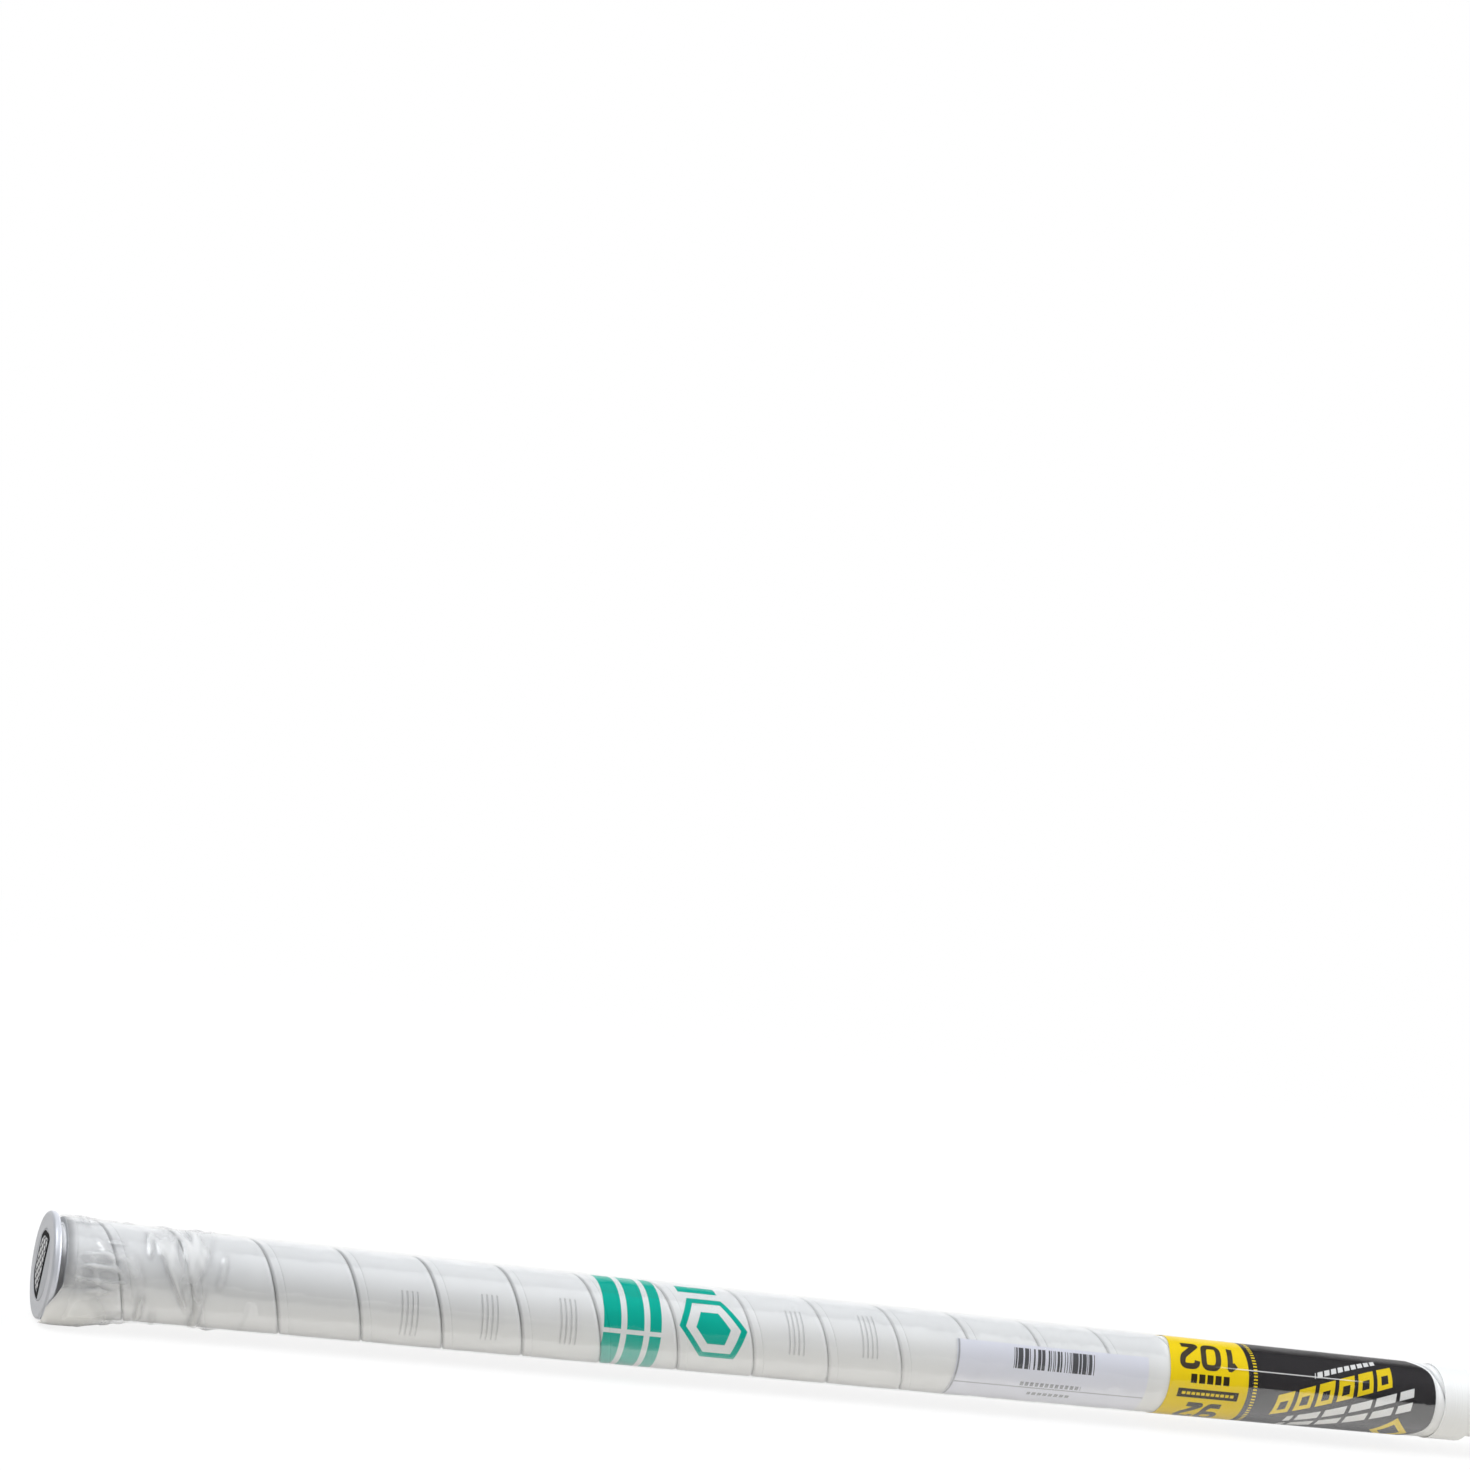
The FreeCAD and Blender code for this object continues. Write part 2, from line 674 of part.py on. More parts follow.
shaft = make_shaft()
end_cap = make_end_cap()
cap_badge = make_badge()
butt_wedge = make_wedge()
grip_tape = make_tape()
size_label = make_size_label()
code_label = make_code_label()
shrink_film = make_film()
finish_tape = make_finish_tape()
blade_screw = make_screw()

blade = doc.addObject("Part::Feature", "blade")
blade.Shape = blade_solid()

# The shaft, blade and screw share one turn about the shaft, in which the stick lies level on its flange,
# its socket and its toe.
roll = resting_roll(blade.Shape)
level = FreeCAD.Placement(FreeCAD.Vector(), FreeCAD.Rotation(FreeCAD.Vector(1, 0, 0), -roll))
inward = FreeCAD.Rotation(FreeCAD.Vector(0, 0, 1), -90)
blade.Placement = level.multiply(blade_place())
shaft.Placement = level
screw_place = size("stick_length") - size("blade_drop") - size("screw_inset")
blade_screw.Placement = level.multiply(
    FreeCAD.Placement(FreeCAD.Vector(screw_place, size("socket_radius"), 0), inward))
doc.recompute()

NODES = [shaft, end_cap, cap_badge, butt_wedge, grip_tape, size_label, code_label, shrink_film, finish_tape,
         blade, blade_screw]

for item in doc.Objects:
    if "Invalid" in item.State or "Error" in item.State:
        raise ValueError(f"{item.Name} failed: {item.State}")
for node in NODES:
    if node.Shape.isNull() or not node.Shape.isValid() or len(node.Shape.Solids) != 1:
        raise ValueError(f"{node.Label} is not one valid solid")

os.makedirs("parts", exist_ok=True)
for node in NODES:
    node.Shape.exportStep(f"parts/{node.Label}.step")
    box = node.Shape.optimalBoundingBox()
    print(f"{node.Label}: {box.XMin:.1f}..{box.XMax:.1f}  {box.YMin:.1f}..{box.YMax:.1f}  "
          f"{box.ZMin:.1f}..{box.ZMax:.1f}  {node.Shape.Volume / 1000:.2f} cm3")
print(f"blade turned {roll:.2f} degrees about the shaft")
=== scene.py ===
"""Looks of a floorball stick: a wound white grip in clear film, with its cap, labels, shaft and blade."""

import json
import math

import bpy
import numpy as np
from bpy.props import FloatProperty, FloatVectorProperty, PointerProperty
from bpy.types import Operator, Panel, PropertyGroup
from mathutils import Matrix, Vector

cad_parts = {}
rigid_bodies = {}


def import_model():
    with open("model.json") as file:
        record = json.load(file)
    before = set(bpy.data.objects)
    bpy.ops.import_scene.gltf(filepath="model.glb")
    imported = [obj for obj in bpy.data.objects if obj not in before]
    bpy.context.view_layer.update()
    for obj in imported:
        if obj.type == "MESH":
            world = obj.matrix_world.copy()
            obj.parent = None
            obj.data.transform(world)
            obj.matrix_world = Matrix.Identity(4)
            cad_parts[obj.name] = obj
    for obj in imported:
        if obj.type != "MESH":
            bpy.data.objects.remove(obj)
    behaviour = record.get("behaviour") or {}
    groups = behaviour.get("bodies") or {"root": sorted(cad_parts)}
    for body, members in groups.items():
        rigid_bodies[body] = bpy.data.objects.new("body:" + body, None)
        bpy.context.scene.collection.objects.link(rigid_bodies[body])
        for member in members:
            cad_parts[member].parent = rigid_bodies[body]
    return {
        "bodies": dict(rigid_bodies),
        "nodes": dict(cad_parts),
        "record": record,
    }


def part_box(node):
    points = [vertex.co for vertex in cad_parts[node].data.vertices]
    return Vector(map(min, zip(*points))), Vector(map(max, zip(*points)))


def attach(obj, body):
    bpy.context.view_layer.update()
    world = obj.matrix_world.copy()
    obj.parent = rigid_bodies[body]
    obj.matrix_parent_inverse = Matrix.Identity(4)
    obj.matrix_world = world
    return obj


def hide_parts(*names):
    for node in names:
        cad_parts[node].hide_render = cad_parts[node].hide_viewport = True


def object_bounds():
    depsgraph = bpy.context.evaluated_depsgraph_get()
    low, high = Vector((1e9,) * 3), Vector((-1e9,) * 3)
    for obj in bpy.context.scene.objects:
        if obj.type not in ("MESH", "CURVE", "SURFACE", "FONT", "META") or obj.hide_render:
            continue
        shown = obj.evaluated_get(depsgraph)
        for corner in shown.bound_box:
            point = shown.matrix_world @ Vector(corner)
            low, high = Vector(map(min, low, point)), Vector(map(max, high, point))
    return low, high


bl_info = {
    "name": "Floorball Stick",
    "version": (1, 0, 0),
    "blender": (4, 5, 0),
    "location": "View3D > Sidebar > Stick",
    "description": "Builds the visible pieces and finishes of a floorball stick round its packed model",
    "category": "Add Mesh",
}

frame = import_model()
CAD_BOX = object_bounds()
BODY = next(iter(frame["bodies"]))
MM = 0.001
FLOOR_DROP = 0.8 * MM       # the loose film lifts the stick off the floor
LABEL_WALL = 0.09 * MM
FILM_WALL = 0.06 * MM

TUBE_LOW, TUBE_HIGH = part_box("shaft")
TAPE_LOW, TAPE_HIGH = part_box("grip_tape")
FILM_LOW, FILM_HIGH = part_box("shrink_film")
_, CAP_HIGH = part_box("end_cap")
_, BADGE_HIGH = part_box("cap_badge")
SIZE_LOW, SIZE_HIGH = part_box("size_label")
CODE_LOW, CODE_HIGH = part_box("code_label")
CLIP = next(mount for mount in frame["record"]["mounts"] if mount["name"] == "shaft_clip")


def length(name, description, default):
    """A property that holds a length in metres."""
    return FloatProperty(name=name, description=description, default=default, unit="LENGTH", precision=5)


def colour(name, description, default):
    """A property that holds a linear colour."""
    return FloatVectorProperty(name=name, description=description, default=default, subtype="COLOR", size=3,
                               min=0, max=1)


class StickSizes(PropertyGroup):
    tube_top: length("Tube Top Radius", "Outside radius of the tube at the cap", TUBE_HIGH.y)
    tube_low: length("Tube Low Radius", "Outside radius of the tube below the grip", CLIP["dims"]["r_mm"] * MM)
    taper_end: length("Taper End", "Distance from the butt where the tube's taper ends", 0.520)
    bed_gap: length("Bed Gap", "Adhesive between the tube and the tape", 0.0001)
    flare_rise: length("Flare Rise", "How much the wedge swells the grip at the cap", 0.0008)
    flare_length: length("Flare Length", "Distance over which that swelling runs out", 0.029)
    tape_thick: length("Tape Thickness", "Thickness of the wound tape", 0.0017)
    tape_pitch: length("Tape Pitch", "Advance of the tape in one turn", 0.02686)
    tape_seam: length("Tape Seam", "Open seam between two turns", 0.0006)
    seam_offset: length("Seam Offset", "Where a seam crosses the side that faces -Y", 0.0172)
    first_shift: length("First Shift", "How much further down the first seam lies", 0.0044)
    tape_tip: length("Tape Tip", "Width of the strip's cut tips", 0.002)
    label_lift: length("Label Lift", "Tape's surface to the outside of a label", 0.00026)
    film_lift: length("Film Lift", "Tape's surface to the outside of the film", 0.00056)


class StickColours(PropertyGroup):
    tape: colour("Tape", "Grip tape", (0.855, 0.86, 0.87))
    green: colour("Green Print", "Prints on the tape", (0.003, 0.46, 0.36))
    yellow: colour("Yellow Print", "Yellow end of the size label", (0.87, 0.64, 0.010))
    black: colour("Black Print", "Black end of the size label", (0.026, 0.0235, 0.0255))
    ink: colour("Ink", "Numerals and bars", (0.035, 0.026, 0.012))
    paper: colour("Paper", "Sticker with bars", (0.79, 0.80, 0.89))
    cap: colour("Cap", "Silver grey end cap", (0.49, 0.50, 0.54))
    shaft: colour("Shaft", "Lacquered tube", (0.84, 0.84, 0.84))
    blade: colour("Blade", "Moulded blade", (0.010, 0.33, 0.27))


class StudioSettings(PropertyGroup):
    lens: FloatProperty(name="Lens", description="Focal length on a 36 mm sensor", default=85.31, unit="CAMERA")
    place: FloatVectorProperty(name="Camera Place", description="Where the camera stands", size=3,
                               default=(-0.21286, -1.05606, 0.22447), subtype="TRANSLATION", precision=5)
    turn: FloatVectorProperty(name="Camera Turn", description="How the camera is turned", size=3,
                              default=(1.544175, -0.173749, -0.363320), subtype="EULER", precision=6)
    top: FloatProperty(name="Top Power", description="Power of the lamp above the grip", default=81, unit="POWER")
    right: FloatProperty(name="Right Power", description="Power of the lamp above the blade", default=250, unit="POWER")
    front: FloatProperty(name="Front Power", description="Power of the low lamp in front", default=18, unit="POWER")
    sky: FloatProperty(name="Sky Strength", description="Strength of the dim surroundings", default=0.06)


# Shader maths

class Shade:
    """A socket of a node tree. Arithmetic on it adds Math nodes, and node() adds any other node."""

    def __init__(self, tree, socket=None):
        self.tree = tree
        self.socket = socket

    def node(self, kind, inputs=None, out=0, **settings):
        """A new node: its settings first, then the values or links of its sockets."""
        made = self.tree.nodes.new(kind)
        for name, value in settings.items():
            setattr(made, name, value)
        for name, value in (inputs or {}).items():
            if isinstance(value, Shade):
                self.tree.links.new(value.socket, made.inputs[name])
            else:
                made.inputs[name].default_value = value
        return Shade(self.tree, made.outputs[out] if made.outputs else None)

    def other(self, out):
        """Another output of the same node."""
        return Shade(self.tree, self.socket.node.outputs[out])

    def math(self, operation, *values):
        return self.node("ShaderNodeMath", dict(enumerate(values)), operation=operation)

    def __add__(self, value):
        return self.math("ADD", self, value)

    def __sub__(self, value):
        return self.math("SUBTRACT", self, value)

    def __rsub__(self, value):
        return self.math("SUBTRACT", value, self)

    def __mul__(self, value):
        return self.math("MULTIPLY", self, value)

    def __truediv__(self, value):
        return self.math("DIVIDE", self, value)

    def __mod__(self, value):
        return self.math("FLOORED_MODULO", self, value)

    def __abs__(self):
        return self.math("ABSOLUTE", self)

    def __neg__(self):
        return self.math("MULTIPLY", self, -1)

    def __gt__(self, value):
        return self.math("GREATER_THAN", self, value)

    def __or__(self, value):
        return self.math("MAXIMUM", self, value)

    def __and__(self, value):
        return self.math("MINIMUM", self, value)

    __radd__ = __add__
    __rmul__ = __mul__

    def rise(self, low, high):
        """0 below low, 1 above high, with a smooth rise between; low above high turns it round."""
        return self.node("ShaderNodeMapRange", {"Value": self, "From Min": low, "From Max": high},
                         interpolation_type="SMOOTHSTEP")

    def mix(self, one, two):
        """The colours one and two, mixed by this value."""
        return self.node("ShaderNodeMix", {0: self, 6: one, 7: two}, out=2, data_type="RGBA")

    def split(self):
        """The three parts of a vector."""
        parts = self.node("ShaderNodeSeparateXYZ", {"Vector": self})
        return parts, parts.other(1), parts.other(2)


def rgba(value, share=1.0):
    """A share of a colour property as a socket's four numbers."""
    return (*(share * c for c in value), 1.0)


def grey(value):
    """A neutral colour as a socket's four numbers."""
    return (value, value, value, 1.0)


def near(value, centre, half, soft):
    """1 within half of the centre, falling to 0 over soft on both sides."""
    return abs(value - centre).rise(half + soft, half)


def object_place(shade):
    """Object coordinates in millimetres."""
    spot = shade.node("ShaderNodeTexCoord", out="Object")
    return spot.node("ShaderNodeVectorMath", {0: spot, "Scale": 1 / MM}, operation="SCALE")


def grip_place(shade):
    """Millimetres down the stick, and the angle in degrees round it: 0 faces -Y and below is positive."""
    x, y, z = object_place(shade).split()
    return x, shade.math("ARCTAN2", -z, -y) * (180 / math.pi)


def noise(shade, place, scale, detail=2.0, rough=0.5):
    """Soft noise from 0 to 1. Its scale is in repeats per millimetre."""
    return shade.node("ShaderNodeTexNoise", {"Vector": place, "Scale": scale, "Detail": detail, "Roughness": rough})


def bump(shade, height, distance, strength=1.0):
    """A normal from a height of 0 to 1 that stands for that distance in metres."""
    return shade.node("ShaderNodeBump", {"Height": height, "Strength": strength, "Distance": distance})


def new_material(name):
    material = bpy.data.materials.new(name)
    material.use_nodes = True
    material.node_tree.nodes.clear()
    return material, Shade(material.node_tree)


def finish(shade, **inputs):
    """A Principled surface. Words of a socket's name are joined by underscores."""
    named = {name.replace("_", " "): value for name, value in inputs.items()}
    surface = shade.node("ShaderNodeBsdfPrincipled", named)
    shade.node("ShaderNodeOutputMaterial", {"Surface": surface})


# Meshes from arrays of points

def grid_part(points, wrap_rows=False, wrap_columns=True, ends=False):
    """Points and faces of a grid that joins itself along its wrapped directions; ends closes the first and last row."""
    rows, columns = points.shape[:2]
    index = np.arange(rows * columns).reshape(rows, columns)
    lines = np.concatenate([index, index[:1]]) if wrap_rows else index
    lines = np.concatenate([lines, lines[:, :1]], axis=1) if wrap_columns else lines
    quads = np.stack([lines[:-1, :-1], lines[:-1, 1:], lines[1:, 1:], lines[1:, :-1]], axis=-1).reshape(-1, 4)
    faces = quads.tolist()
    if ends:
        faces += [index[0, ::-1].tolist(), index[-1].tolist()]
    flat = points.reshape(-1, 3)
    corner = flat[quads]
    middle = flat.mean(axis=0)
    cross = np.cross(corner[:, 2] - corner[:, 0], corner[:, 3] - corner[:, 1])
    if np.einsum("ij,ij->", corner.mean(axis=1) - middle, cross) < 0:
        faces = [face[::-1] for face in faces]
    return flat, faces


def smooth_mesh(name, points, faces, material):
    """A mesh of points and faces that is shaded smooth."""
    mesh = bpy.data.meshes.new(name)
    mesh.from_pydata(points, [], faces)
    mesh.polygons.foreach_set("use_smooth", np.ones(len(mesh.polygons), bool))
    mesh.materials.append(material)
    return mesh


def add_piece(name, parts, material, node=None, sharp=40, attributes=None):
    """A mesh object from parts of points and faces, which rides on the stick and may stand for a CAD node."""
    starts = np.cumsum([0] + [len(points) for points, _ in parts])
    points = np.concatenate([points for points, _ in parts])
    faces = [[corner + start for corner in face] for start, (_, part) in zip(starts.tolist(), parts) for face in part]
    mesh = smooth_mesh(name, points, faces, material)
    mesh.set_sharp_from_angle(angle=math.radians(sharp))
    for label, values in (attributes or {}).items():
        layer = mesh.attributes.new(label, "FLOAT_VECTOR", "POINT")
        layer.data.foreach_set("vector", values.astype(np.float32).ravel())
    mesh.validate()
    piece = bpy.data.objects.new(name, mesh)
    bpy.context.scene.collection.objects.link(piece)
    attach(piece, BODY)
    if node:
        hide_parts(node)
    return piece


def dress(node, material):
    """Gives a CAD node its material."""
    mesh = frame["nodes"][node].data
    mesh.materials.clear()
    mesh.materials.append(material)


def around(distance, angle, radius):
    """Points at a distance down the stick, an angle round it in radians and a radius."""
    distance, angle, radius = np.broadcast_arrays(distance, angle, radius)
    return np.stack([distance, -radius * np.cos(angle), -radius * np.sin(angle)], axis=-1)


def turns(count):
    """Angles of a whole turn, without its end."""
    return np.arange(count) * (2 * math.pi / count)


def arc(centre_x, centre_r, radius, start, stop, count):
    """Points of a circular arc in a turned profile, between two angles in degrees from +X towards +radius."""
    angle = np.radians(np.linspace(start, stop, count))
    return np.stack([centre_x + radius * np.cos(angle), centre_r + radius * np.sin(angle)], axis=-1)


def half_turn(angle):
    """The same angle between minus and plus half a turn."""
    return (angle + math.pi) % (2 * math.pi) - math.pi


def tape_bed(sizes, distance):
    """The radius under the tape: the tapered tube, its adhesive and the wedge's flare."""
    share = np.minimum(distance / sizes.taper_end, 1)
    flare = np.clip(1 - (distance - TAPE_LOW.x) / sizes.flare_length, 0, 1)
    tube = sizes.tube_top + (sizes.tube_low - sizes.tube_top) * share
    return tube + sizes.bed_gap + sizes.flare_rise * flare


# Grip tape

def strip_section(sizes):
    """The strip's closed section as share of its width, offset and height: a skived leading margin behind
    a shallow groove, a faintly crowned middle, rounded edges and a flat back."""
    thick = sizes.tape_thick
    crown = np.linspace(0, 1, 25)
    edge = np.array([(-0.22, -1.7), (-0.22, -0.62), (-0.10, -0.42), (0.05, -0.24), (0.22, -0.12), (0.5, -0.05)]) * MM
    margin = np.array([(1.0, -0.05), (1.8, -0.05), (2.5, -0.05), (2.75, -0.10), (2.95, -0.16), (3.1, -0.10),
                       (3.3, -0.01)]) * MM
    top = np.stack([crown, 3.6 * MM - 4.2 * MM * crown, 0.05 * MM * np.sin(math.pi * crown)], axis=-1)
    lead = np.insert(np.concatenate([edge, margin]), 0, 0, axis=1)
    trail = np.insert(edge[::-1] * (-1, 1), 0, 1, axis=1)
    section = np.concatenate([lead, top, trail])
    section[:, 2] += thick
    return section


def wound_strip(sizes):
    """The section carried along a helix of one pitch per turn, from a cut tip to a cut tip. Where the helix
    leaves the grip the strip is trimmed at its ends, its first turn is a little tighter, and its surface waves."""
    pitch, seam, offset, shift = sizes.tape_pitch, sizes.tape_seam, sizes.seam_offset, sizes.first_shift
    first = (TAPE_LOW.x + sizes.tape_tip - offset - shift + seam / 2) / pitch - 1
    last = (TAPE_HIGH.x - sizes.tape_tip - offset - seam / 2) / pitch
    steps_per_turn = 88
    turn = np.linspace(first, last, int((last - first) * steps_per_turn))[:, None]
    early = [np.clip(1 - lap, 0, 1) for lap in (turn, turn + 1)]
    extra = [shift * share * share * (3 - 2 * share) for share in early]
    lead = np.maximum(TAPE_LOW.x, offset + pitch * turn + extra[0] + seam / 2)
    trail = np.minimum(TAPE_HIGH.x, offset + pitch * (turn + 1) + extra[1] - seam / 2)
    share, beside, height = strip_section(sizes).T
    distance = np.clip(lead + share * (trail - lead) + beside, TAPE_LOW.x, TAPE_HIGH.x)
    angle = 2 * math.pi * turn
    wave = 0.04 * MM * np.sin(distance / (7 * MM) + 2 * np.sin(angle)) * np.sin(1.7 * angle + distance / (19 * MM))
    radius = tape_bed(sizes, distance) + height + wave * (height > 0)
    strip = np.stack(np.broadcast_arrays(turn, (distance - lead) / MM, 0 * distance), axis=-1)
    return grid_part(around(distance, angle, radius), ends=True), strip.reshape(-1, 3)


SOFT = 0.18     # width of a print's soft edge in millimetres


def slanted_bar(across, along, centre, half, slant):
    """A bar at a centre with half sizes in millimetres, whose ends lean by the slant."""
    lean = across + along * slant
    return near(lean, centre[0], half[0], SOFT) & near(along, centre[1], half[1], SOFT)


def tape_material(colours):
    """White tape: fine grain, pressed tread marks once per print length, two green prints, darker strip edges and
    painted shade behind the flange.
    """
    material, shade = new_material("white_grip_tape")
    turn, across, _ = shade.node("ShaderNodeAttribute", out="Vector", attribute_name="strip").split()
    print_length, print_turns, first_print = 89.0, 0.985, 0.066
    strip_width, stripe_half, stripe_slant = 26.2, 23, 0.22
    stripes_at, nut_at, plain_reach = 6, 7, 3.2
    cell = turn / print_turns - first_print
    number = shade.math("ROUND", cell)
    along = (cell - number) * print_length
    wide = across - strip_width / 2
    on_stripes = near(number, stripes_at, 0.2, 0.1)
    on_nut = near(number, nut_at, 0.2, 0.1)
    on_plain = near(number, stripes_at, plain_reach, 0.1) & (1 - (on_stripes | on_nut))

    stripes = 1 - near(along, 2.5, 0.7, SOFT)
    stripes = stripes & (slanted_bar(wide, along, (-8.6, 0), (2.9, stripe_half), stripe_slant)
                         | slanted_bar(wide, along, (-0.6, 0), (2.9, stripe_half), stripe_slant)
                         | slanted_bar(wide, along, (6.4, 0), (1.9, stripe_half), stripe_slant))
    hexagon = (abs(wide) * math.sin(math.pi / 3) + abs(along) * 0.5) | abs(along)
    nut = near(hexagon, 9.4, 0.9, SOFT) | hexagon.rise(5.4, 5.2)
    dash = slanted_bar(wide, along, (-3.4, -15.2), (6.8, 1.9), 0.2)
    green = (stripes & on_stripes) | ((nut | dash) & on_nut)

    groove_pitch, groove_slant = 1.7, 0.16
    lean = (wide - 3.0) + along * groove_slant
    grooves = near(lean % groove_pitch, groove_pitch / 2, 0.16, 0.2)
    pressed = grooves & near(lean, 0, 2 * groove_pitch, 0.1) & near(along, 0, 7.4, 0.6) & on_plain

    place = object_place(shade)
    x, _, _ = place.split()
    grain = noise(shade, place, 2.2, 3.0, 0.6)
    mottle = noise(shade, place, 0.12, 3.0)
    # Darker towards the strip's edges, more so towards the butt, and painted shade on the tape just behind the flange.
    darker_edges_and_flange_shade = across.rise(0.9, 0.0) | across.rise(strip_width - 0.6, strip_width + 0.1) | x.rise(8.5, 4.5)
    base = mottle.mix(rgba(colours.tape, 0.95), rgba(colours.tape))
    base = (darker_edges_and_flange_shade * (0.25 + x.rise(260, 120) * 0.25)).mix(base, (0.32, 0.32, 0.33, 1))
    # Painted shade: the tape's start just behind the flange is drawn dark grey.
    base = (x.rise(7.5, 4.6) * 0.5).mix(base, (0.25, 0.25, 0.26, 1))
    base = (pressed * 0.42).mix(base, (0.46, 0.46, 0.48, 1))
    base = green.mix(base, rgba(colours.green))
    relief = bump(shade, grain * 0.12 - pressed + green * 0.15, 0.00022)
    finish(shade, Base_Color=base, Roughness=0.5 + grain * 0.16, Specular_IOR_Level=0.06, Normal=relief)
    return material


# Clear film

def film_folds(distance, angle, radius):
    """Sums of smooth ridges, each a bell across its own line and flat along it: lengthwise creases at the cap,
    then slanted and ringwise folds that fade down the grip."""
    rng = np.random.default_rng(11)
    count, crease_count, highest = 96, 36, 0.55 * MM
    creases = np.arange(count) < crease_count
    place = np.where(creases, rng.uniform(9, 20, count), rng.uniform(6, 58, count)) * MM
    round_at = rng.uniform(-math.pi, math.pi, count)
    lean = np.where(creases, rng.uniform(-0.12, 0.12, count), rng.uniform(0.95, 1.9, count))
    long = np.where(creases, rng.uniform(3, 7, count), rng.uniform(4, 11, count)) * MM
    wide = np.where(creases, rng.uniform(0.5, 0.8, count), rng.uniform(0.7, 1.8, count)) * MM
    high = np.where(creases, rng.uniform(0.16, 0.34, count), rng.uniform(0.14, 0.42, count)) * MM
    total = np.zeros(np.broadcast_shapes(distance.shape, angle.shape))
    for k in range(count):
        down = distance - place[k]
        side = radius * half_turn(angle - round_at[k])
        u = down * math.cos(lean[k]) + side * math.sin(lean[k])
        v = side * math.cos(lean[k]) - down * math.sin(lean[k])
        total += high[k] * np.exp(-(v / wide[k]) ** 2 - (u / long[k]) ** 4)
    return np.minimum(total, highest)


def film_sleeve(sizes):
    """A thin closed sleeve that follows the tape's surface, with folds towards the cap and a loose belly below it,
    whose lip hangs over the flange's lower edge."""
    folded_end, lip_length, lip_run, belly_depth = 62 * MM, 3.9 * MM, 14 * MM, 2.2 * MM
    near_cap = np.arange(FILM_LOW.x, folded_end, 0.5 * MM)
    beyond = np.linspace(folded_end, FILM_HIGH.x, 90)
    distance = np.concatenate([near_cap, beyond])[:, None]
    angle = turns(190)[None, :]
    below = half_turn(angle - math.radians(61))
    reach = np.clip((below + math.radians(8)) / math.radians(57), -1, 1)
    lip = np.minimum(1.35 * np.cos(reach * math.pi / 2) ** 2, 1)
    distance = distance - lip_length * lip * np.clip(1 - (distance - FILM_LOW.x) / lip_run, 0, 1) ** 2
    radius = tape_bed(sizes, distance) + sizes.tape_thick + sizes.film_lift
    slack = 0.03 * MM * np.sin(distance / (13 * MM) + 3 * angle) * np.sin(2 * angle + distance / (31 * MM))
    hang = np.exp(-((distance - 7 * MM) / (13 * MM)) ** 2 - (below / math.radians(52)) ** 2)
    fold = film_folds(distance, angle, radius)
    floor = (FLOOR_DROP - CAD_BOX[0].z) / np.maximum(np.sin(angle), 0.1)
    outer = np.minimum(radius + slack + fold + belly_depth * hang, np.maximum(floor - 0.1 * MM, radius))
    both = np.concatenate([around(distance, angle, outer), around(distance, angle, outer - FILM_WALL)[::-1]])
    steep = np.hypot(np.gradient(fold, axis=0) / np.gradient(distance, axis=0),
                     np.gradient(fold, axis=1) / (radius * (angle[0, 1] - angle[0, 0])))
    mark = np.stack([fold / (0.4 * MM), np.minimum(steep / 0.45, 1), hang], axis=-1)
    return grid_part(both, wrap_rows=True), np.concatenate([mark, mark[::-1]]).reshape(-1, 3)


def film_material():
    """Clear film: see-through, with a mirror-like face that strengthens at grazing angles, milky folds, painted shade
    on its steep folds and a painted highlight along one fold on the size label.
    """
    material, shade = new_material("clear_film")
    place = object_place(shade)
    x, angle = grip_place(shade)
    ripple = noise(shade, place, 0.09, 2.0)
    fine = noise(shade, place, 0.6, 2.0)
    relief = bump(shade, ripple + fine * (0.06 + x.rise(70, 10) * 0.10), 0.0006)
    fold, steep, hang = shade.node("ShaderNodeAttribute", out="Vector", attribute_name="fold").split()
    clear = shade.node("ShaderNodeBsdfTransparent", {"Color": grey(0.99)})
    # Painted shade: the film turns grey where its folds are steep.
    fold_shade = shade.node("ShaderNodeBsdfTransparent", {"Color": (0.58, 0.58, 0.60, 1)})
    milky = shade.node("ShaderNodeBsdfDiffuse", {"Color": grey(0.90)})
    mirror = shade.node("ShaderNodeBsdfGlossy", {"Color": grey(1), "Roughness": 0.09 + (fold | steep) * 0.34,
                                                 "Normal": relief})
    # The mirror's share of the light: Fresnel's, but never nothing near the cap and never much on the size label.
    least = 0.012 + x.rise(210, 40) * 0.048
    most = 0.05 + x.rise(388, 384) * 0.17
    fresnel = shade.node("ShaderNodeFresnel", {"IOR": 1.45, "Normal": relief})
    share = ((fresnel - 0.022) * 0.9 | least) & most
    # Painted highlight: a thin milky line on the size label stands for light caught along a fold of the film.
    fold_highlight_line = near(angle, -30.5, 0.5, 0.7) & near(x, 436, 17, 16)
    cloudy = fold * 0.30 | hang.rise(0.16, 0.66) * 0.78
    film = clear
    for factor, layer in ((steep * 0.36, fold_shade), (cloudy, milky), (share, mirror), (fold_highlight_line * 0.4, milky)):
        film = shade.node("ShaderNodeMixShader", {0: factor, 1: film, 2: layer})
    shade.node("ShaderNodeOutputMaterial", {"Surface": film})
    return material


# End cap and badge. The badge's hatched panel is set out in millimetres.

PANEL_Y, PANEL_Z = 2.8, -0.4                # the panel's middle
PANEL_HALF_WIDE, PANEL_HALF_TALL = 6.3, 10.6
PANEL_LEAN = 0.23
WEAVE_PITCH = 3.4


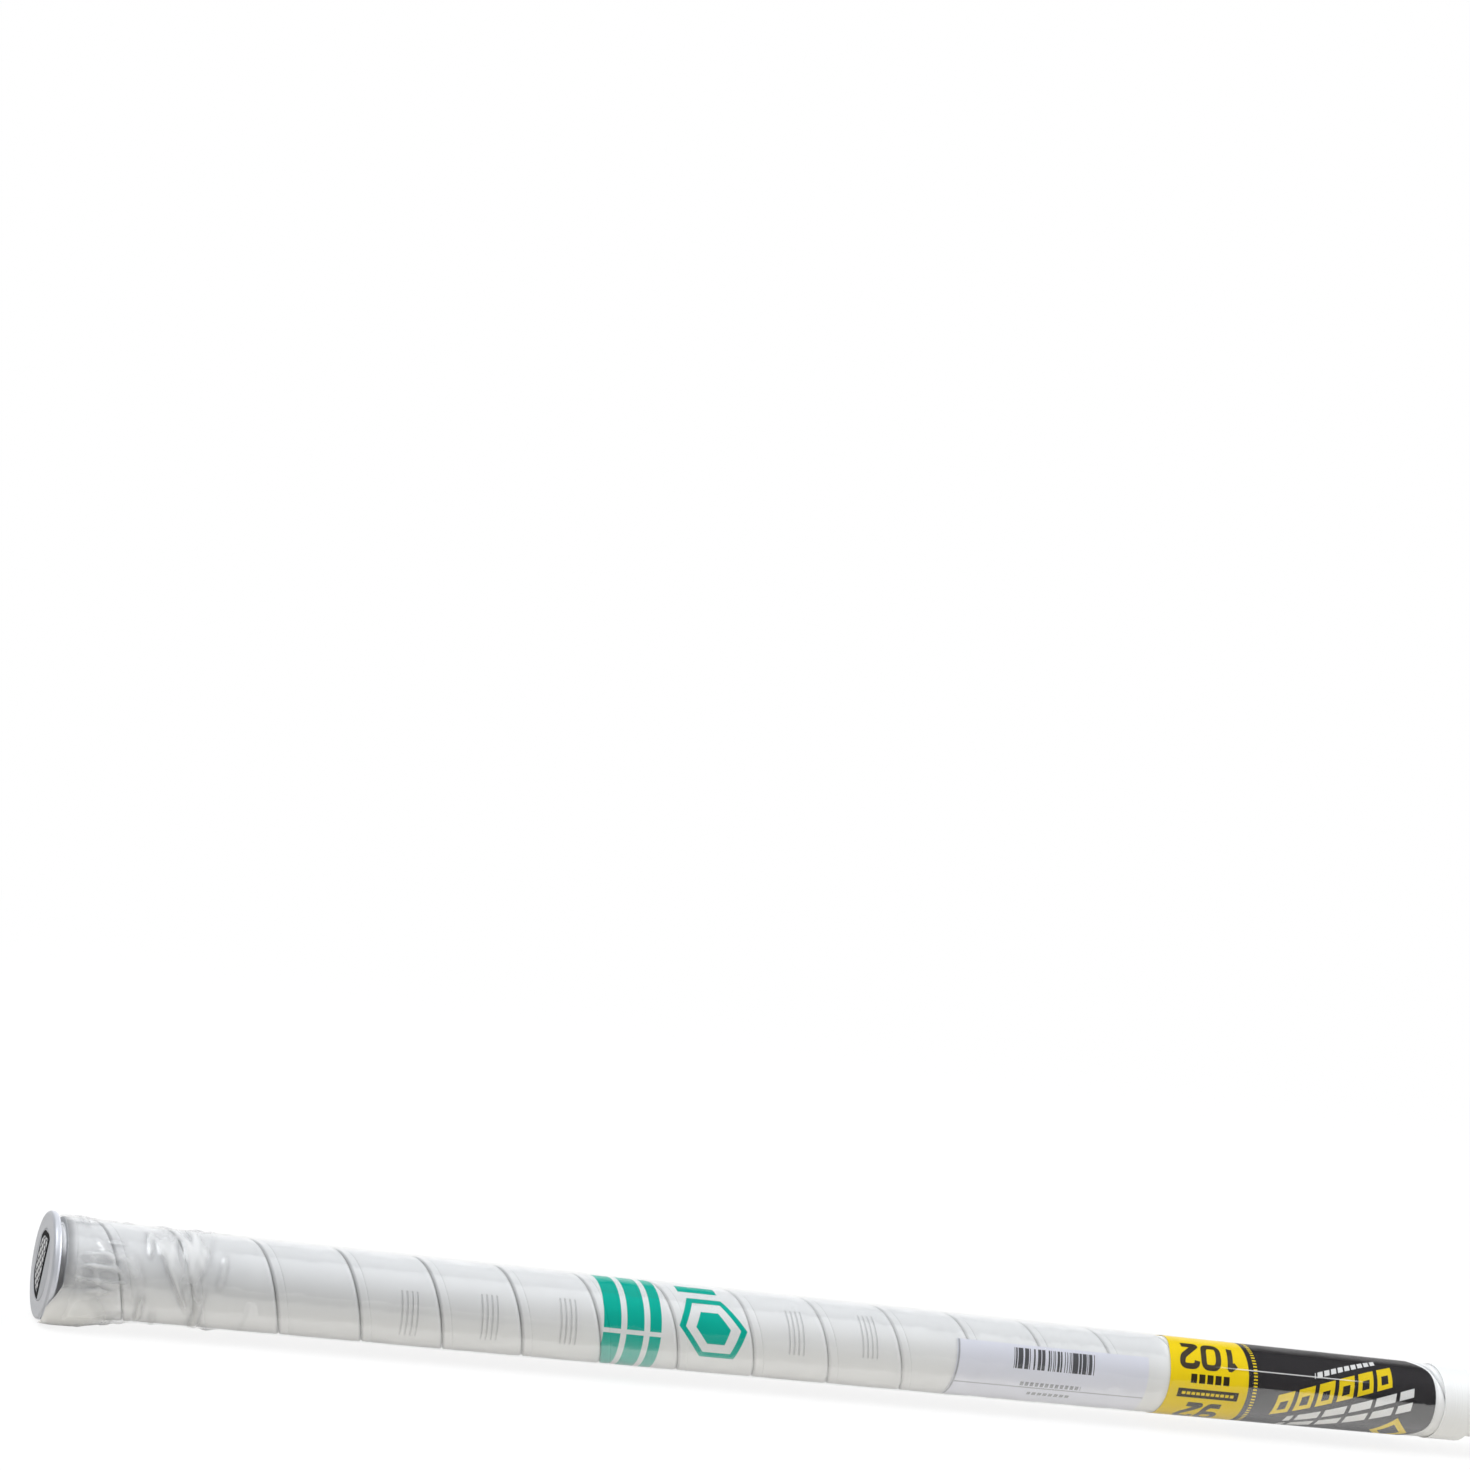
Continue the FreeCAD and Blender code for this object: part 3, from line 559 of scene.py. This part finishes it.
def cap_parts():
    """A turned profile: the badge's seat, a faintly dished face, a rounded rim, the flange's back and the hollow
    plug, whose eight crush ribs are raised round it."""
    rim = CAP_HIGH.y
    seat = BADGE_HIGH.y + 0.1 * MM
    thick = TUBE_LOW.x - 0.1 * MM
    nose = CAP_HIGH.x
    plug = 10.3 * MM
    wall = 1.8 * MM
    profile = np.concatenate([
        [(0.9 * MM, 0.3 * MM), (0.9 * MM, seat), (0.15 * MM, seat)],
        arc(0.15 * MM, seat + 0.15 * MM, 0.15 * MM, 270, 180, 5),
        [(0.10 * MM, seat + 1.2 * MM), (0.02 * MM, rim - 1.6 * MM)],
        arc(1.1 * MM, rim - 1.1 * MM, 1.1 * MM, 178, 92, 14),
        arc(thick - 1.0 * MM, rim - 1.0 * MM, 1.0 * MM, 88, 2, 12),
        [(thick, rim - 2.4 * MM), (thick, plug + 0.3 * MM), (thick + 0.3 * MM, plug)],
        [(nose - 10 * MM, plug), (nose - 5 * MM, plug), (nose - 0.4 * MM, plug), (nose, plug - 0.4 * MM)],
        [(nose, plug - wall), (2.1 * MM, plug - wall), (2.1 * MM, 0.3 * MM)],
    ])
    rib_count, rib_height, rib_share = 8, 0.42 * MM, 0.07
    angle = turns(192)[None, :]
    distance, radius = profile[:, :1], profile[:, 1:]
    on_plug = (np.abs(radius - plug) < 1e-6) & (distance < nose - 4 * MM)
    rib = np.exp(-((((angle * rib_count / (2 * math.pi) + 0.5) % 1) - 0.5) / rib_share) ** 4)
    radius = radius + rib_height * on_plug * rib
    return grid_part(around(distance, angle, radius), ends=True)


def badge_part():
    """A thin disc whose outer face carries a slanted panel of crossed grooves, sunk by a function of the two
    coordinates across the face."""
    edge, back, eye, rings = BADGE_HIGH.y, BADGE_HIGH.x, 0.15 * MM, 70
    radius = np.concatenate([np.linspace(eye, edge - 0.12 * MM, rings), [edge, edge, edge - 0.2 * MM, eye]])
    depth = np.concatenate([np.zeros(rings), [0.12 * MM, back - 0.1 * MM, back, back]])
    points = around(depth[:, None], turns(180)[None, :], radius[:, None])
    points[:rings, :, 0] += 0.16 * MM * panel_depth(points[:rings, :, 1], points[:rings, :, 2])
    return grid_part(points, ends=True)


def panel_depth(y, z):
    """1 in the grooves of the hatched panel and at its border, 0 elsewhere."""
    y, z = y / MM, z / MM
    u, v = (y - PANEL_Y + PANEL_LEAN * z) / PANEL_HALF_WIDE, (z - PANEL_Z) / PANEL_HALF_TALL
    inside = np.maximum(np.maximum(np.abs(u), np.abs(v)), np.hypot(y, z) / PANEL_HALF_TALL)
    border = np.clip(1 - np.abs(inside - 0.94) / 0.14, 0, 1)
    wave = 2 * math.pi / WEAVE_PITCH
    weave = np.maximum(np.cos((y + z) * wave), np.cos((y - z) * wave))
    return np.maximum(border, np.clip(weave * 1.6 - 0.6, 0, 1) * (inside < 0.85))


def cap_material(colours):
    """Silver grey paint: fine sparkle, soft gloss, and painted light that makes the rim lighter than the face."""
    material, shade = new_material("silver_cap")
    place = object_place(shade)
    flake = noise(shade, place, 9.0, 1.0)
    cloud = noise(shade, place, 0.2, 3.0)
    base = cloud.mix(rgba(colours.cap, 0.88), rgba(colours.cap))
    base = (flake * 0.25).mix(base, (0.62, 0.63, 0.66, 1))
    # Painted light: past the face, the rim and the flange's back are drawn 1.4 times lighter.
    base = place.split()[0].rise(0.3, 1.0).mix(base, rgba(colours.cap, 1.4))
    finish(shade, Base_Color=base, Metallic=0.25, Roughness=0.30 + cloud * 0.12, Specular_IOR_Level=0.15,
           Normal=bump(shade, flake, 0.00003))
    return material


def badge_material(colours):
    """Silver grey inlay with a dark border, drawn wider towards -Y as painted shade, and dark grooves in its hatched
    panel.
    """
    material, shade = new_material("hatched_badge")
    place = object_place(shade)
    _, y, z = place.split()
    span = shade.math("SQRT", y * y + z * z)
    lean = (y - PANEL_Y + PANEL_LEAN * z) / PANEL_HALF_WIDE
    inside = abs(lean) | abs(z - PANEL_Z) / PANEL_HALF_TALL | span / PANEL_HALF_TALL
    # A dark outline round the panel, drawn wider towards -Y: that widening is painted shade of a raised plate's side
    # wall.
    border = inside.rise(1.02, 0.99) & (inside.rise(0.82, 0.86) | lean.rise(-0.60, -0.65))
    wave = 2 * math.pi / WEAVE_PITCH
    weave = shade.math("COSINE", (y + z) * wave) | shade.math("COSINE", (y - z) * wave)
    hatched = inside.rise(0.84, 0.80)
    groove = weave.rise(0.35, 0.70) & hatched
    cloud = noise(shade, place, 0.5, 3.0)
    base = cloud.mix(rgba(colours.cap, 0.85), rgba(colours.cap))
    base = hatched.mix(base, (0.68, 0.68, 0.70, 1))
    base = (groove * 0.95).mix(base, (0.06, 0.06, 0.07, 1))
    base = border.mix(base, (0.02, 0.02, 0.022, 1))
    finish(shade, Base_Color=base, Roughness=0.45 + border * 0.3, Specular_IOR_Level=0.04)
    return material


# Labels

def label_radius(sizes, distance):
    """The outside of a label on the tape."""
    return tape_bed(sizes, distance) + sizes.tape_thick + sizes.label_lift


def size_sleeve(sizes):
    """A thin closed sleeve round the tape, whose edges are drawn in on top and below."""
    angle = turns(160)[None, :]
    above = half_turn(angle + math.radians(95))
    below = half_turn(angle - math.radians(75))
    share = np.linspace(0, 1, 120)[:, None]
    distance = SIZE_LOW.x + share * (SIZE_HIGH.x - SIZE_LOW.x)
    distance = distance + 2.4 * MM * np.exp(-(above / math.radians(38)) ** 2) * (1 - share) ** 3
    corners = 6 * np.exp(-(above / math.radians(24)) ** 2) + 7 * np.exp(-(below / math.radians(25)) ** 2)
    distance = distance - corners * MM * share ** 8
    outer = around(distance, angle, label_radius(sizes, distance))
    inner = around(distance, angle, label_radius(sizes, distance) - LABEL_WALL)
    return grid_part(np.concatenate([outer, inner[::-1]]), wrap_rows=True)


def code_angles():
    """The sticker's upper and lower edge as angles round the grip."""
    radius = -CODE_LOW.y
    return -math.asin(CODE_HIGH.z / radius), math.asin(-CODE_LOW.z / radius)


def code_sticker(sizes):
    """A thin closed patch of the tape's surface between two angles."""
    high, low = code_angles()
    distance = np.linspace(CODE_LOW.x, CODE_HIGH.x, 74)[:, None]
    angle = np.linspace(high, low, 60)[None, :]
    radius = label_radius(sizes, distance)
    outer = around(distance, angle, radius)
    inner = around(distance, angle, radius - LABEL_WALL)
    ring = np.concatenate([outer, inner[:, ::-1]], axis=1)
    return grid_part(ring, ends=True)


def resampled(path, count, rounding):
    """A polyline sampled evenly along its length, its corners rounded by a running mean."""
    step = np.linalg.norm(np.diff(path, axis=0), axis=1)
    run = np.concatenate([[0], np.cumsum(step)])
    even = np.linspace(0, run[-1], count)
    path = np.stack([np.interp(even, run, path[:, k]) for k in (0, 1)], axis=-1)
    padded = np.concatenate([np.repeat(path[:1], rounding, axis=0), path, np.repeat(path[-1:], rounding, axis=0)])
    window = np.ones(2 * rounding + 1) / (2 * rounding + 1)
    return np.stack([np.convolve(padded[:, k], window, "valid") for k in (0, 1)], axis=-1)


def numeral_path(digit):
    """The middle line of a numeral, in a box of half width 0.5 and half height 0.8. Round forms are superellipses."""
    angle = np.linspace(0, 2 * math.pi, 97)
    loop = np.stack([np.sign(np.cos(angle)) * np.abs(np.cos(angle)) ** 0.55,
                     np.sign(np.sin(angle)) * np.abs(np.sin(angle)) ** 0.55], axis=-1)
    if digit == "0":
        return loop * (0.42, 0.8)
    if digit == "1":
        return resampled(np.array([(-0.22, 0.45), (0.12, 0.8), (0.12, -0.8)]), 60, 1)
    if digit == "2":
        bow = loop[48::-1] * (0.42, 0.42) + (0, 0.38)
        return resampled(np.concatenate([bow, [(0.36, 0.10), (-0.42, -0.8), (0.46, -0.8)]]), 90, 2)
    if digit == "9":
        ring = loop[::-1] * (0.42, 0.42) + (0, 0.38)
        return resampled(np.concatenate([ring, [(0.42, -0.5), (0.25, -0.8), (-0.38, -0.8)]]), 120, 2)
    raise ValueError(f"no path for {digit}")


def numeral_parts(sizes, text, middle, angle, tall, wide, stroke):
    """Ribbons along the numerals' middle lines, laid upside down on the label: reading runs to -X."""
    path_height, advance, italic = 1.6, 1.22, 0.16
    scale = tall / path_height
    parts = []
    for k, digit in enumerate(text):
        path = numeral_path(digit) * (scale * wide, scale)
        path[:, 0] += (k - (len(text) - 1) / 2) * advance * wide * scale + italic * path[:, 1]
        ahead = np.gradient(path, axis=0)
        ahead /= np.linalg.norm(ahead, axis=1, keepdims=True)
        side = np.stack([-ahead[:, 1], ahead[:, 0]], axis=-1) * stroke / 2
        flat = np.stack([path + side, path + side / 3, path - side / 3, path - side,
                         path - side, path + side], axis=1)
        lift = np.array([0.03, 0.03, 0.03, 0.03, 0.005, 0.005]) * MM
        distance = middle - flat[..., 0]
        radius = label_radius(sizes, distance)
        parts.append(grid_part(around(distance, angle + flat[..., 1] / radius, radius + lift), ends=True))
    return parts


def size_material(colours):
    """Glossy print: a yellow end with dark bars, and a black end with slanted blocks in yellow and white."""
    material, shade = new_material("size_print")
    x, angle = grip_place(shade)
    label_mm, soft = 13.3, 0.12
    round_mm = angle * (label_mm * math.pi / 180)
    black = x.rise(418.4, 418.6)
    word = near(x, 403.5, 8.0, 0.1) & near(angle, -11, 6.5, 0.5) & near((x - 395.5) % 3.2, 1.35, 1.15, 0.1)
    box = near(x, 403.3, 11.9, 0.1) & near(angle, 11.5, 6.8, 0.5)
    slit = near(x, 403.3, 10.2, 0.1) & near(angle, 11.5, 2.0, 0.5) & near((x - 393) % 1.9, 0.75, 0.65, 0.1)
    ticks = near(x, 421.3, 0.7, 0.1) & near(angle % 5, 2.5, 1.0, 0.4)

    # Three slanted rows of blocks on the black end, in coordinates turned by the rows' slope
    slope, block_lean = math.radians(-17.5), 0.45
    down, across = x - 454, round_mm + 2.9
    along = down * math.cos(slope) + across * math.sin(slope)
    off = across * math.cos(slope) - down * math.sin(slope)
    lean = along + off * block_lean
    first = near(off, 0, 3.7, soft) & near(lean, 0, 25.5, soft) & near(lean % 8.5, 4.25, 3.3, soft)
    notch = near(off, 0.6, 1.5, soft) & near(lean % 8.5, 4.25, 1.5, soft)
    second = near(off, 9.9, 3.7, soft) & near(lean, 9, 25.5, soft) & near((lean + 3) % 10.2, 5.1, 4.2, soft)
    cut = near(off, 9.9, 0.75, soft)
    third = near(off, -7.0, 0.9, soft) & near(lean, 4, 14.0, soft) & near(lean % 3.1, 1.55, 1.1, soft)
    diamond = near(abs(x - 481) + abs(round_mm - 12.6), 6.2, 1.5, 0.15)
    yellow_print = (first & (1 - notch)) | diamond | ticks
    white_print = (second & (1 - cut)) | third

    wear = noise(shade, object_place(shade), 0.25, 3.0)
    ink = rgba(colours.ink)
    yellow = wear.mix(rgba(colours.yellow, 0.94), rgba(colours.yellow))
    front = ((word | box) & (1 - slit)).mix(yellow, ink)
    back = yellow_print.mix(rgba(colours.black), rgba(colours.yellow))
    back = white_print.mix(back, grey(0.80))
    edge = shade.node("ShaderNodeLayerWeight", {"Blend": 0.5}, out="Facing")
    finish(shade, Base_Color=black.mix(front, back), Roughness=0.3 + wear * 0.08, Specular_IOR_Level=0.06,
           Coat_Weight=black * edge.rise(0.8, 0.4) * 0.9, Coat_IOR=2.1, Coat_Roughness=0.06)
    return material


def ink_material(colours):
    """Dark print of the numerals, slightly uneven."""
    material, shade = new_material("numeral_ink")
    patch = noise(shade, object_place(shade), 0.8, 2.0)
    base = patch.mix(rgba(colours.ink), rgba(colours.ink, 1.5))
    finish(shade, Base_Color=base, Roughness=0.28 + patch * 0.1)
    return material


def code_material(colours):
    """Bluish white paper with a block of chance bars, two rows of dashes under it, and painted shadow lines along its
    lower edge and at its end.
    """
    material, shade = new_material("code_paper")
    x, angle = grip_place(shade)
    place = object_place(shade)
    thin_bar, paper_share = 0.31, 0.40
    step = shade.math("FLOOR", (x - 327.3) / thin_bar)
    chance = shade.node("ShaderNodeTexWhiteNoise", {"W": step}, noise_dimensions="1D")
    block = near(x, 342.8, 15.4, 0.1) & near(angle, -15.5, 14.5, 0.3)
    bars = (chance > paper_share) & block
    dashes = near(x, 342.8, 11.5, 0.1) & near(angle, 21.5, 3.0, 0.5) & near((x - 331) % 1.9, 0.95, 0.55, 0.15)
    low = near(x, 343.6, 8.0, 0.1) & near(angle, 39, 2.8, 0.5) & near((x - 335) % 2.1, 1.05, 0.65, 0.15)
    # Painted shadow: thin dark lines near the sticker's lower edge and at its end.
    edge_shadow_lines = near(angle, 27.6, 0.7, 0.5) | near(x, 306.6, 0.25, 0.2)
    fibre = noise(shade, place, 1.4, 3.0)
    base = fibre.mix(rgba(colours.paper, 0.96), rgba(colours.paper))
    base = ((dashes | low) * 0.7).mix(base, (0.08, 0.08, 0.09, 1))
    base = (edge_shadow_lines * 0.6).mix(base, (0.12, 0.12, 0.13, 1))
    base = (bars * 0.93).mix(base, (0.03, 0.03, 0.035, 1))
    finish(shade, Base_Color=base, Roughness=0.5 + fibre * 0.1, Normal=bump(shade, fibre, 0.00003))
    return material


# Finishes of the CAD pieces

def groove_light_and_shade(angle):
    """Painted light and shade in the groove behind the flange: pale above and below, and darker in front."""
    pale = angle.rise(-20, -42) | angle.rise(6, 28)
    return pale.mix((0.40, 0.40, 0.41, 1), (0.88, 0.88, 0.89, 1))


def shaft_material(colours):
    """White lacquer on a composite tube: clear coat over a faint cloth weave, bare laminate under the grip, and painted
    light and shade in the groove behind the flange.
    """
    material, shade = new_material("white_lacquer")
    x, angle = grip_place(shade)
    weave = shade.math("SINE", x * 2.1 + angle * 0.35) * shade.math("SINE", x * 2.1 - angle * 0.35)
    cloud = noise(shade, object_place(shade), 0.06, 3.0)
    base = cloud.mix(rgba(colours.shaft, 0.96), rgba(colours.shaft))
    base = (weave * 0.03 + 0.03).mix(base, (0.6, 0.6, 0.62, 1))
    # Painted light and shade: in the groove behind the flange the tube is pale above and below and darker in front.
    laminate = x.rise(5.0, 4.4).mix((0.05, 0.05, 0.053, 1), groove_light_and_shade(angle))
    under_grip = x.rise(508, 506)
    base = under_grip.mix(base, laminate)
    finish(shade, Base_Color=base, Roughness=0.34 + cloud * 0.06, Coat_Weight=0.6, Coat_Roughness=0.06,
           Normal=bump(shade, weave, 0.00002))
    return material


def blade_material(colours):
    """Moulded plastic: fine spark-eroded grain, with scuffs that lighten it a little."""
    material, shade = new_material("green_blade_plastic")
    place = object_place(shade)
    grain = noise(shade, place, 3.0, 2.0)
    cloud = noise(shade, place, 0.03, 3.0)
    scuff = noise(shade, place, 0.35, 5.0, 0.7).rise(0.60, 0.75)
    base = cloud.mix(rgba(colours.blade, 0.85), rgba(colours.blade))
    base = (scuff * 0.12).mix(base, (0.20, 0.50, 0.45, 1))
    finish(shade, Base_Color=base, Roughness=0.36 + grain * 0.14, Normal=bump(shade, grain, 0.00005))
    return material


def finish_tape_material(colours):
    """Thin white plastic tape with faint ringwise stretch marks."""
    material, shade = new_material("white_finish_tape")
    x, _, _ = object_place(shade).split()
    marks = noise(shade, shade.node("ShaderNodeCombineXYZ", {"X": x}), 1.6, 3.0)
    base = marks.mix(grey(0.80), rgba(colours.tape))
    finish(shade, Base_Color=base, Roughness=0.28 + marks * 0.1, Normal=bump(shade, marks, 0.00006))
    return material


def foam_material():
    """Dark foam rubber of the wedge, whose end in the groove behind the flange carries painted light and shade."""
    material, shade = new_material("foam_rubber")
    x, angle = grip_place(shade)
    cells = noise(shade, object_place(shade), 1.5, 4.0)
    base = cells.mix((0.025, 0.025, 0.027, 1), (0.05, 0.05, 0.053, 1))
    # Painted light and shade on the wedge's end in the groove behind the flange.
    base = x.rise(4.9, 4.6).mix(base, groove_light_and_shade(angle))
    finish(shade, Base_Color=base, Roughness=0.8 + cells * 0.1, Normal=bump(shade, cells, 0.0002))
    return material


def zinc_material():
    """Zinc plated steel with fine turning marks."""
    material, shade = new_material("zinc_plate")
    place = object_place(shade)
    marks = noise(shade, place, 4.0, 3.0)
    base = marks.mix((0.48, 0.48, 0.47, 1), (0.62, 0.62, 0.61, 1))
    finish(shade, Base_Color=base, Metallic=1.0, Roughness=0.28 + marks * 0.15, Normal=bump(shade, marks, 0.00004))
    return material


# Stage

def cove_points(floor):
    """A floor that bends up into a wall: a profile of two straight runs and a quarter arc, carried along X."""
    reach, wall, height, bend_radius = 6.0, 3.0, 5.0, 1.0
    bend = np.radians(np.linspace(0, 90, 24))
    y = np.concatenate([[-reach], wall - bend_radius + bend_radius * np.sin(bend), [wall]])
    z = np.concatenate([[0.0], bend_radius - bend_radius * np.cos(bend), [height]]) + floor
    x = np.linspace(-reach, reach, 3)[:, None]
    return np.stack(np.broadcast_arrays(x, y[None, :], z[None, :]), axis=-1)


def cove_material():
    """Pale paper: white to the camera and in reflections, with a matt floor and its shadow beneath that. In front of
    the butt lies a dark card, which takes light away and shows in reflections but not to the camera, and in
    reflections the wall darkens towards its top."""
    material, shade = new_material("pale_cove")
    ray = shade.node("ShaderNodeLightPath", out="Is Camera Ray")
    seen = ray | ray.other("Is Glossy Ray") | ray.other("Is Transmission Ray")
    x, y, z = shade.node("ShaderNodeTexCoord", out="Object").split()
    card = (1 - ray) & y.rise(-0.04, -0.08)
    paper = (card & x.rise(0.22, 0.04)).mix((0.79, 0.76, 0.70, 1), grey(0.14))
    matt = shade.node("ShaderNodeBsdfDiffuse", {"Color": ray.mix(paper, grey(0.95))})
    dark_wall = (1 - ray) & z.rise(0.3, 4.5)
    glow = 1 - ((card & x.rise(0.40, 0.15)) * 0.85 | dark_wall)
    white = shade.node("ShaderNodeEmission", {"Color": grey(1), "Strength": glow})
    near_share = 0.86
    share = abs(y).rise(0.25, 1.2) * (1 - near_share) + near_share
    surface = shade.node("ShaderNodeMixShader", {0: seen * share, 1: matt, 2: white})
    shade.node("ShaderNodeOutputMaterial", {"Surface": surface})
    return material


def area_lamp(name, place, aim, size, power):
    """A faintly cool rectangular lamp that faces the point it is aimed at."""
    lamp = bpy.data.lights.new(name, "AREA")
    lamp.shape = "RECTANGLE"
    lamp.size, lamp.size_y = size
    lamp.energy = power
    lamp.color = (0.965, 0.985, 1.0)
    holder = bpy.data.objects.new(name, lamp)
    bpy.context.scene.collection.objects.link(holder)
    holder.location = place
    direction = np.subtract(aim, place)
    flat = math.hypot(direction[0], direction[1])
    holder.rotation_euler = (math.atan2(flat, -direction[2]), 0, math.atan2(-direction[0], direction[1]))


# Operators

class STICK_OT_grip(Operator):
    """Wind the white tape round the grip"""
    bl_idname = "stick.grip"
    bl_label = "Grip Tape"

    def execute(self, context):
        part, strip = wound_strip(context.scene.stick_sizes)
        material = tape_material(context.scene.stick_colours)
        add_piece("wound_tape", [part], material, "grip_tape", attributes={"strip": strip})
        dress("butt_wedge", foam_material())
        dress("finish_tape", finish_tape_material(context.scene.stick_colours))
        return {"FINISHED"}


class STICK_OT_cap(Operator):
    """Turn the end cap and its hatched badge"""
    bl_idname = "stick.cap"
    bl_label = "End Cap"

    def execute(self, context):
        colours = context.scene.stick_colours
        add_piece("butt_cap", [cap_parts()], cap_material(colours), "end_cap", sharp=50)
        add_piece("butt_badge", [badge_part()], badge_material(colours), "cap_badge")
        return {"FINISHED"}


class STICK_OT_labels(Operator):
    """Lay the printed labels on the tape"""
    bl_idname = "stick.labels"
    bl_label = "Labels"

    def execute(self, context):
        sizes, colours = context.scene.stick_sizes, context.scene.stick_colours
        add_piece("size_print", [size_sleeve(sizes)], size_material(colours), "size_label")
        add_piece("code_sticker", [code_sticker(sizes)], code_material(colours), "code_label")
        numerals = numeral_parts(sizes, "102", middle=404.2 * MM, angle=math.radians(-47), tall=8.6 * MM, wide=1.28,
                                 stroke=2.1 * MM)
        numerals += numeral_parts(sizes, "92", middle=403.0 * MM, angle=math.radians(49), tall=8.4 * MM, wide=1.25,
                                  stroke=2.1 * MM)
        add_piece("size_numerals", numerals, ink_material(colours))
        return {"FINISHED"}


class STICK_OT_film(Operator):
    """Shrink the clear film over the grip"""
    bl_idname = "stick.film"
    bl_label = "Clear Film"

    def execute(self, context):
        sleeve, mark = film_sleeve(context.scene.stick_sizes)
        add_piece("clear_film", [sleeve], film_material(), "shrink_film", sharp=80,
                  attributes={"fold": mark})
        return {"FINISHED"}


class STICK_OT_shaft_and_blade(Operator):
    """Finish the tube, the blade and its screw"""
    bl_idname = "stick.shaft_and_blade"
    bl_label = "Shaft and Blade"

    def execute(self, context):
        colours = context.scene.stick_colours
        dress("shaft", shaft_material(colours))
        dress("blade", blade_material(colours))
        dress("blade_screw", zinc_material())
        return {"FINISHED"}


class STICK_OT_stage(Operator):
    """Set the floor, the lamps and the camera"""
    bl_idname = "stick.stage"
    bl_label = "Stage"

    def execute(self, context):
        scene, studio = context.scene, context.scene.stick_studio
        points, faces = grid_part(cove_points(CAD_BOX[0].z - FLOOR_DROP), wrap_columns=False)
        cove = bpy.data.objects.new("cove", smooth_mesh("cove", points, faces, cove_material()))
        scene.collection.objects.link(cove)

        area_lamp("top_lamp", place=(-0.9, -0.6, 2.4), aim=(0.1, 0, 0), size=(2.4, 2.0), power=studio.top)
        area_lamp("right_lamp", place=(5.0, -0.1, 2.6), aim=(0.4, 0, 0), size=(3.0, 3.2), power=studio.right)
        area_lamp("front_lamp", place=(3.4, -1.9, 0.9), aim=(0.4, 0, 0), size=(1.6, 1.6), power=studio.front)

        world = bpy.data.worlds.new("dim_room")
        world.use_nodes = True
        world.node_tree.nodes.clear()
        sky = Shade(world.node_tree)
        ray = sky.node("ShaderNodeLightPath", out="Is Camera Ray")      # white to the camera, dim to the rest
        room = sky.node("ShaderNodeBackground", {"Color": ray.mix((0.93, 0.96, 1.0, 1), grey(1)),
                                                 "Strength": ray * (1 - studio.sky) + studio.sky})
        sky.node("ShaderNodeOutputWorld", {"Surface": room})
        scene.world = world

        camera = bpy.data.cameras.new("camera")
        camera.lens = studio.lens
        camera.sensor_width = 36
        camera.clip_start = 0.01
        holder = bpy.data.objects.new("camera", camera)
        holder.location = studio.place
        holder.rotation_euler = studio.turn
        scene.collection.objects.link(holder)
        scene.camera = holder
        scene.view_settings.view_transform = "Standard"
        return {"FINISHED"}


class STICK_PT_sidebar(Panel):
    bl_idname = "STICK_PT_sidebar"
    bl_label = "Floorball Stick"
    bl_space_type = "VIEW_3D"
    bl_region_type = "UI"
    bl_category = "Stick"

    def draw(self, context):
        for operator in OPERATORS:
            self.layout.operator(operator.bl_idname)
        for group in (context.scene.stick_sizes, context.scene.stick_colours, context.scene.stick_studio):
            column = self.layout.column()
            for name in group.__annotations__:
                column.prop(group, name)


OPERATORS = (STICK_OT_grip, STICK_OT_cap, STICK_OT_labels, STICK_OT_film, STICK_OT_shaft_and_blade, STICK_OT_stage)
CLASSES = (StickSizes, StickColours, StudioSettings, *OPERATORS, STICK_PT_sidebar)


def register():
    for cls in CLASSES:
        bpy.utils.register_class(cls)
    bpy.types.Scene.stick_sizes = PointerProperty(type=StickSizes)
    bpy.types.Scene.stick_colours = PointerProperty(type=StickColours)
    bpy.types.Scene.stick_studio = PointerProperty(type=StudioSettings)


def unregister():
    del bpy.types.Scene.stick_studio
    del bpy.types.Scene.stick_colours
    del bpy.types.Scene.stick_sizes
    for cls in reversed(CLASSES):
        bpy.utils.unregister_class(cls)


def main():
    register()
    bpy.ops.stick.grip()
    bpy.ops.stick.cap()
    bpy.ops.stick.labels()
    bpy.ops.stick.film()
    bpy.ops.stick.shaft_and_blade()
    bpy.ops.stick.stage()


if __name__ == "__main__":
    main()
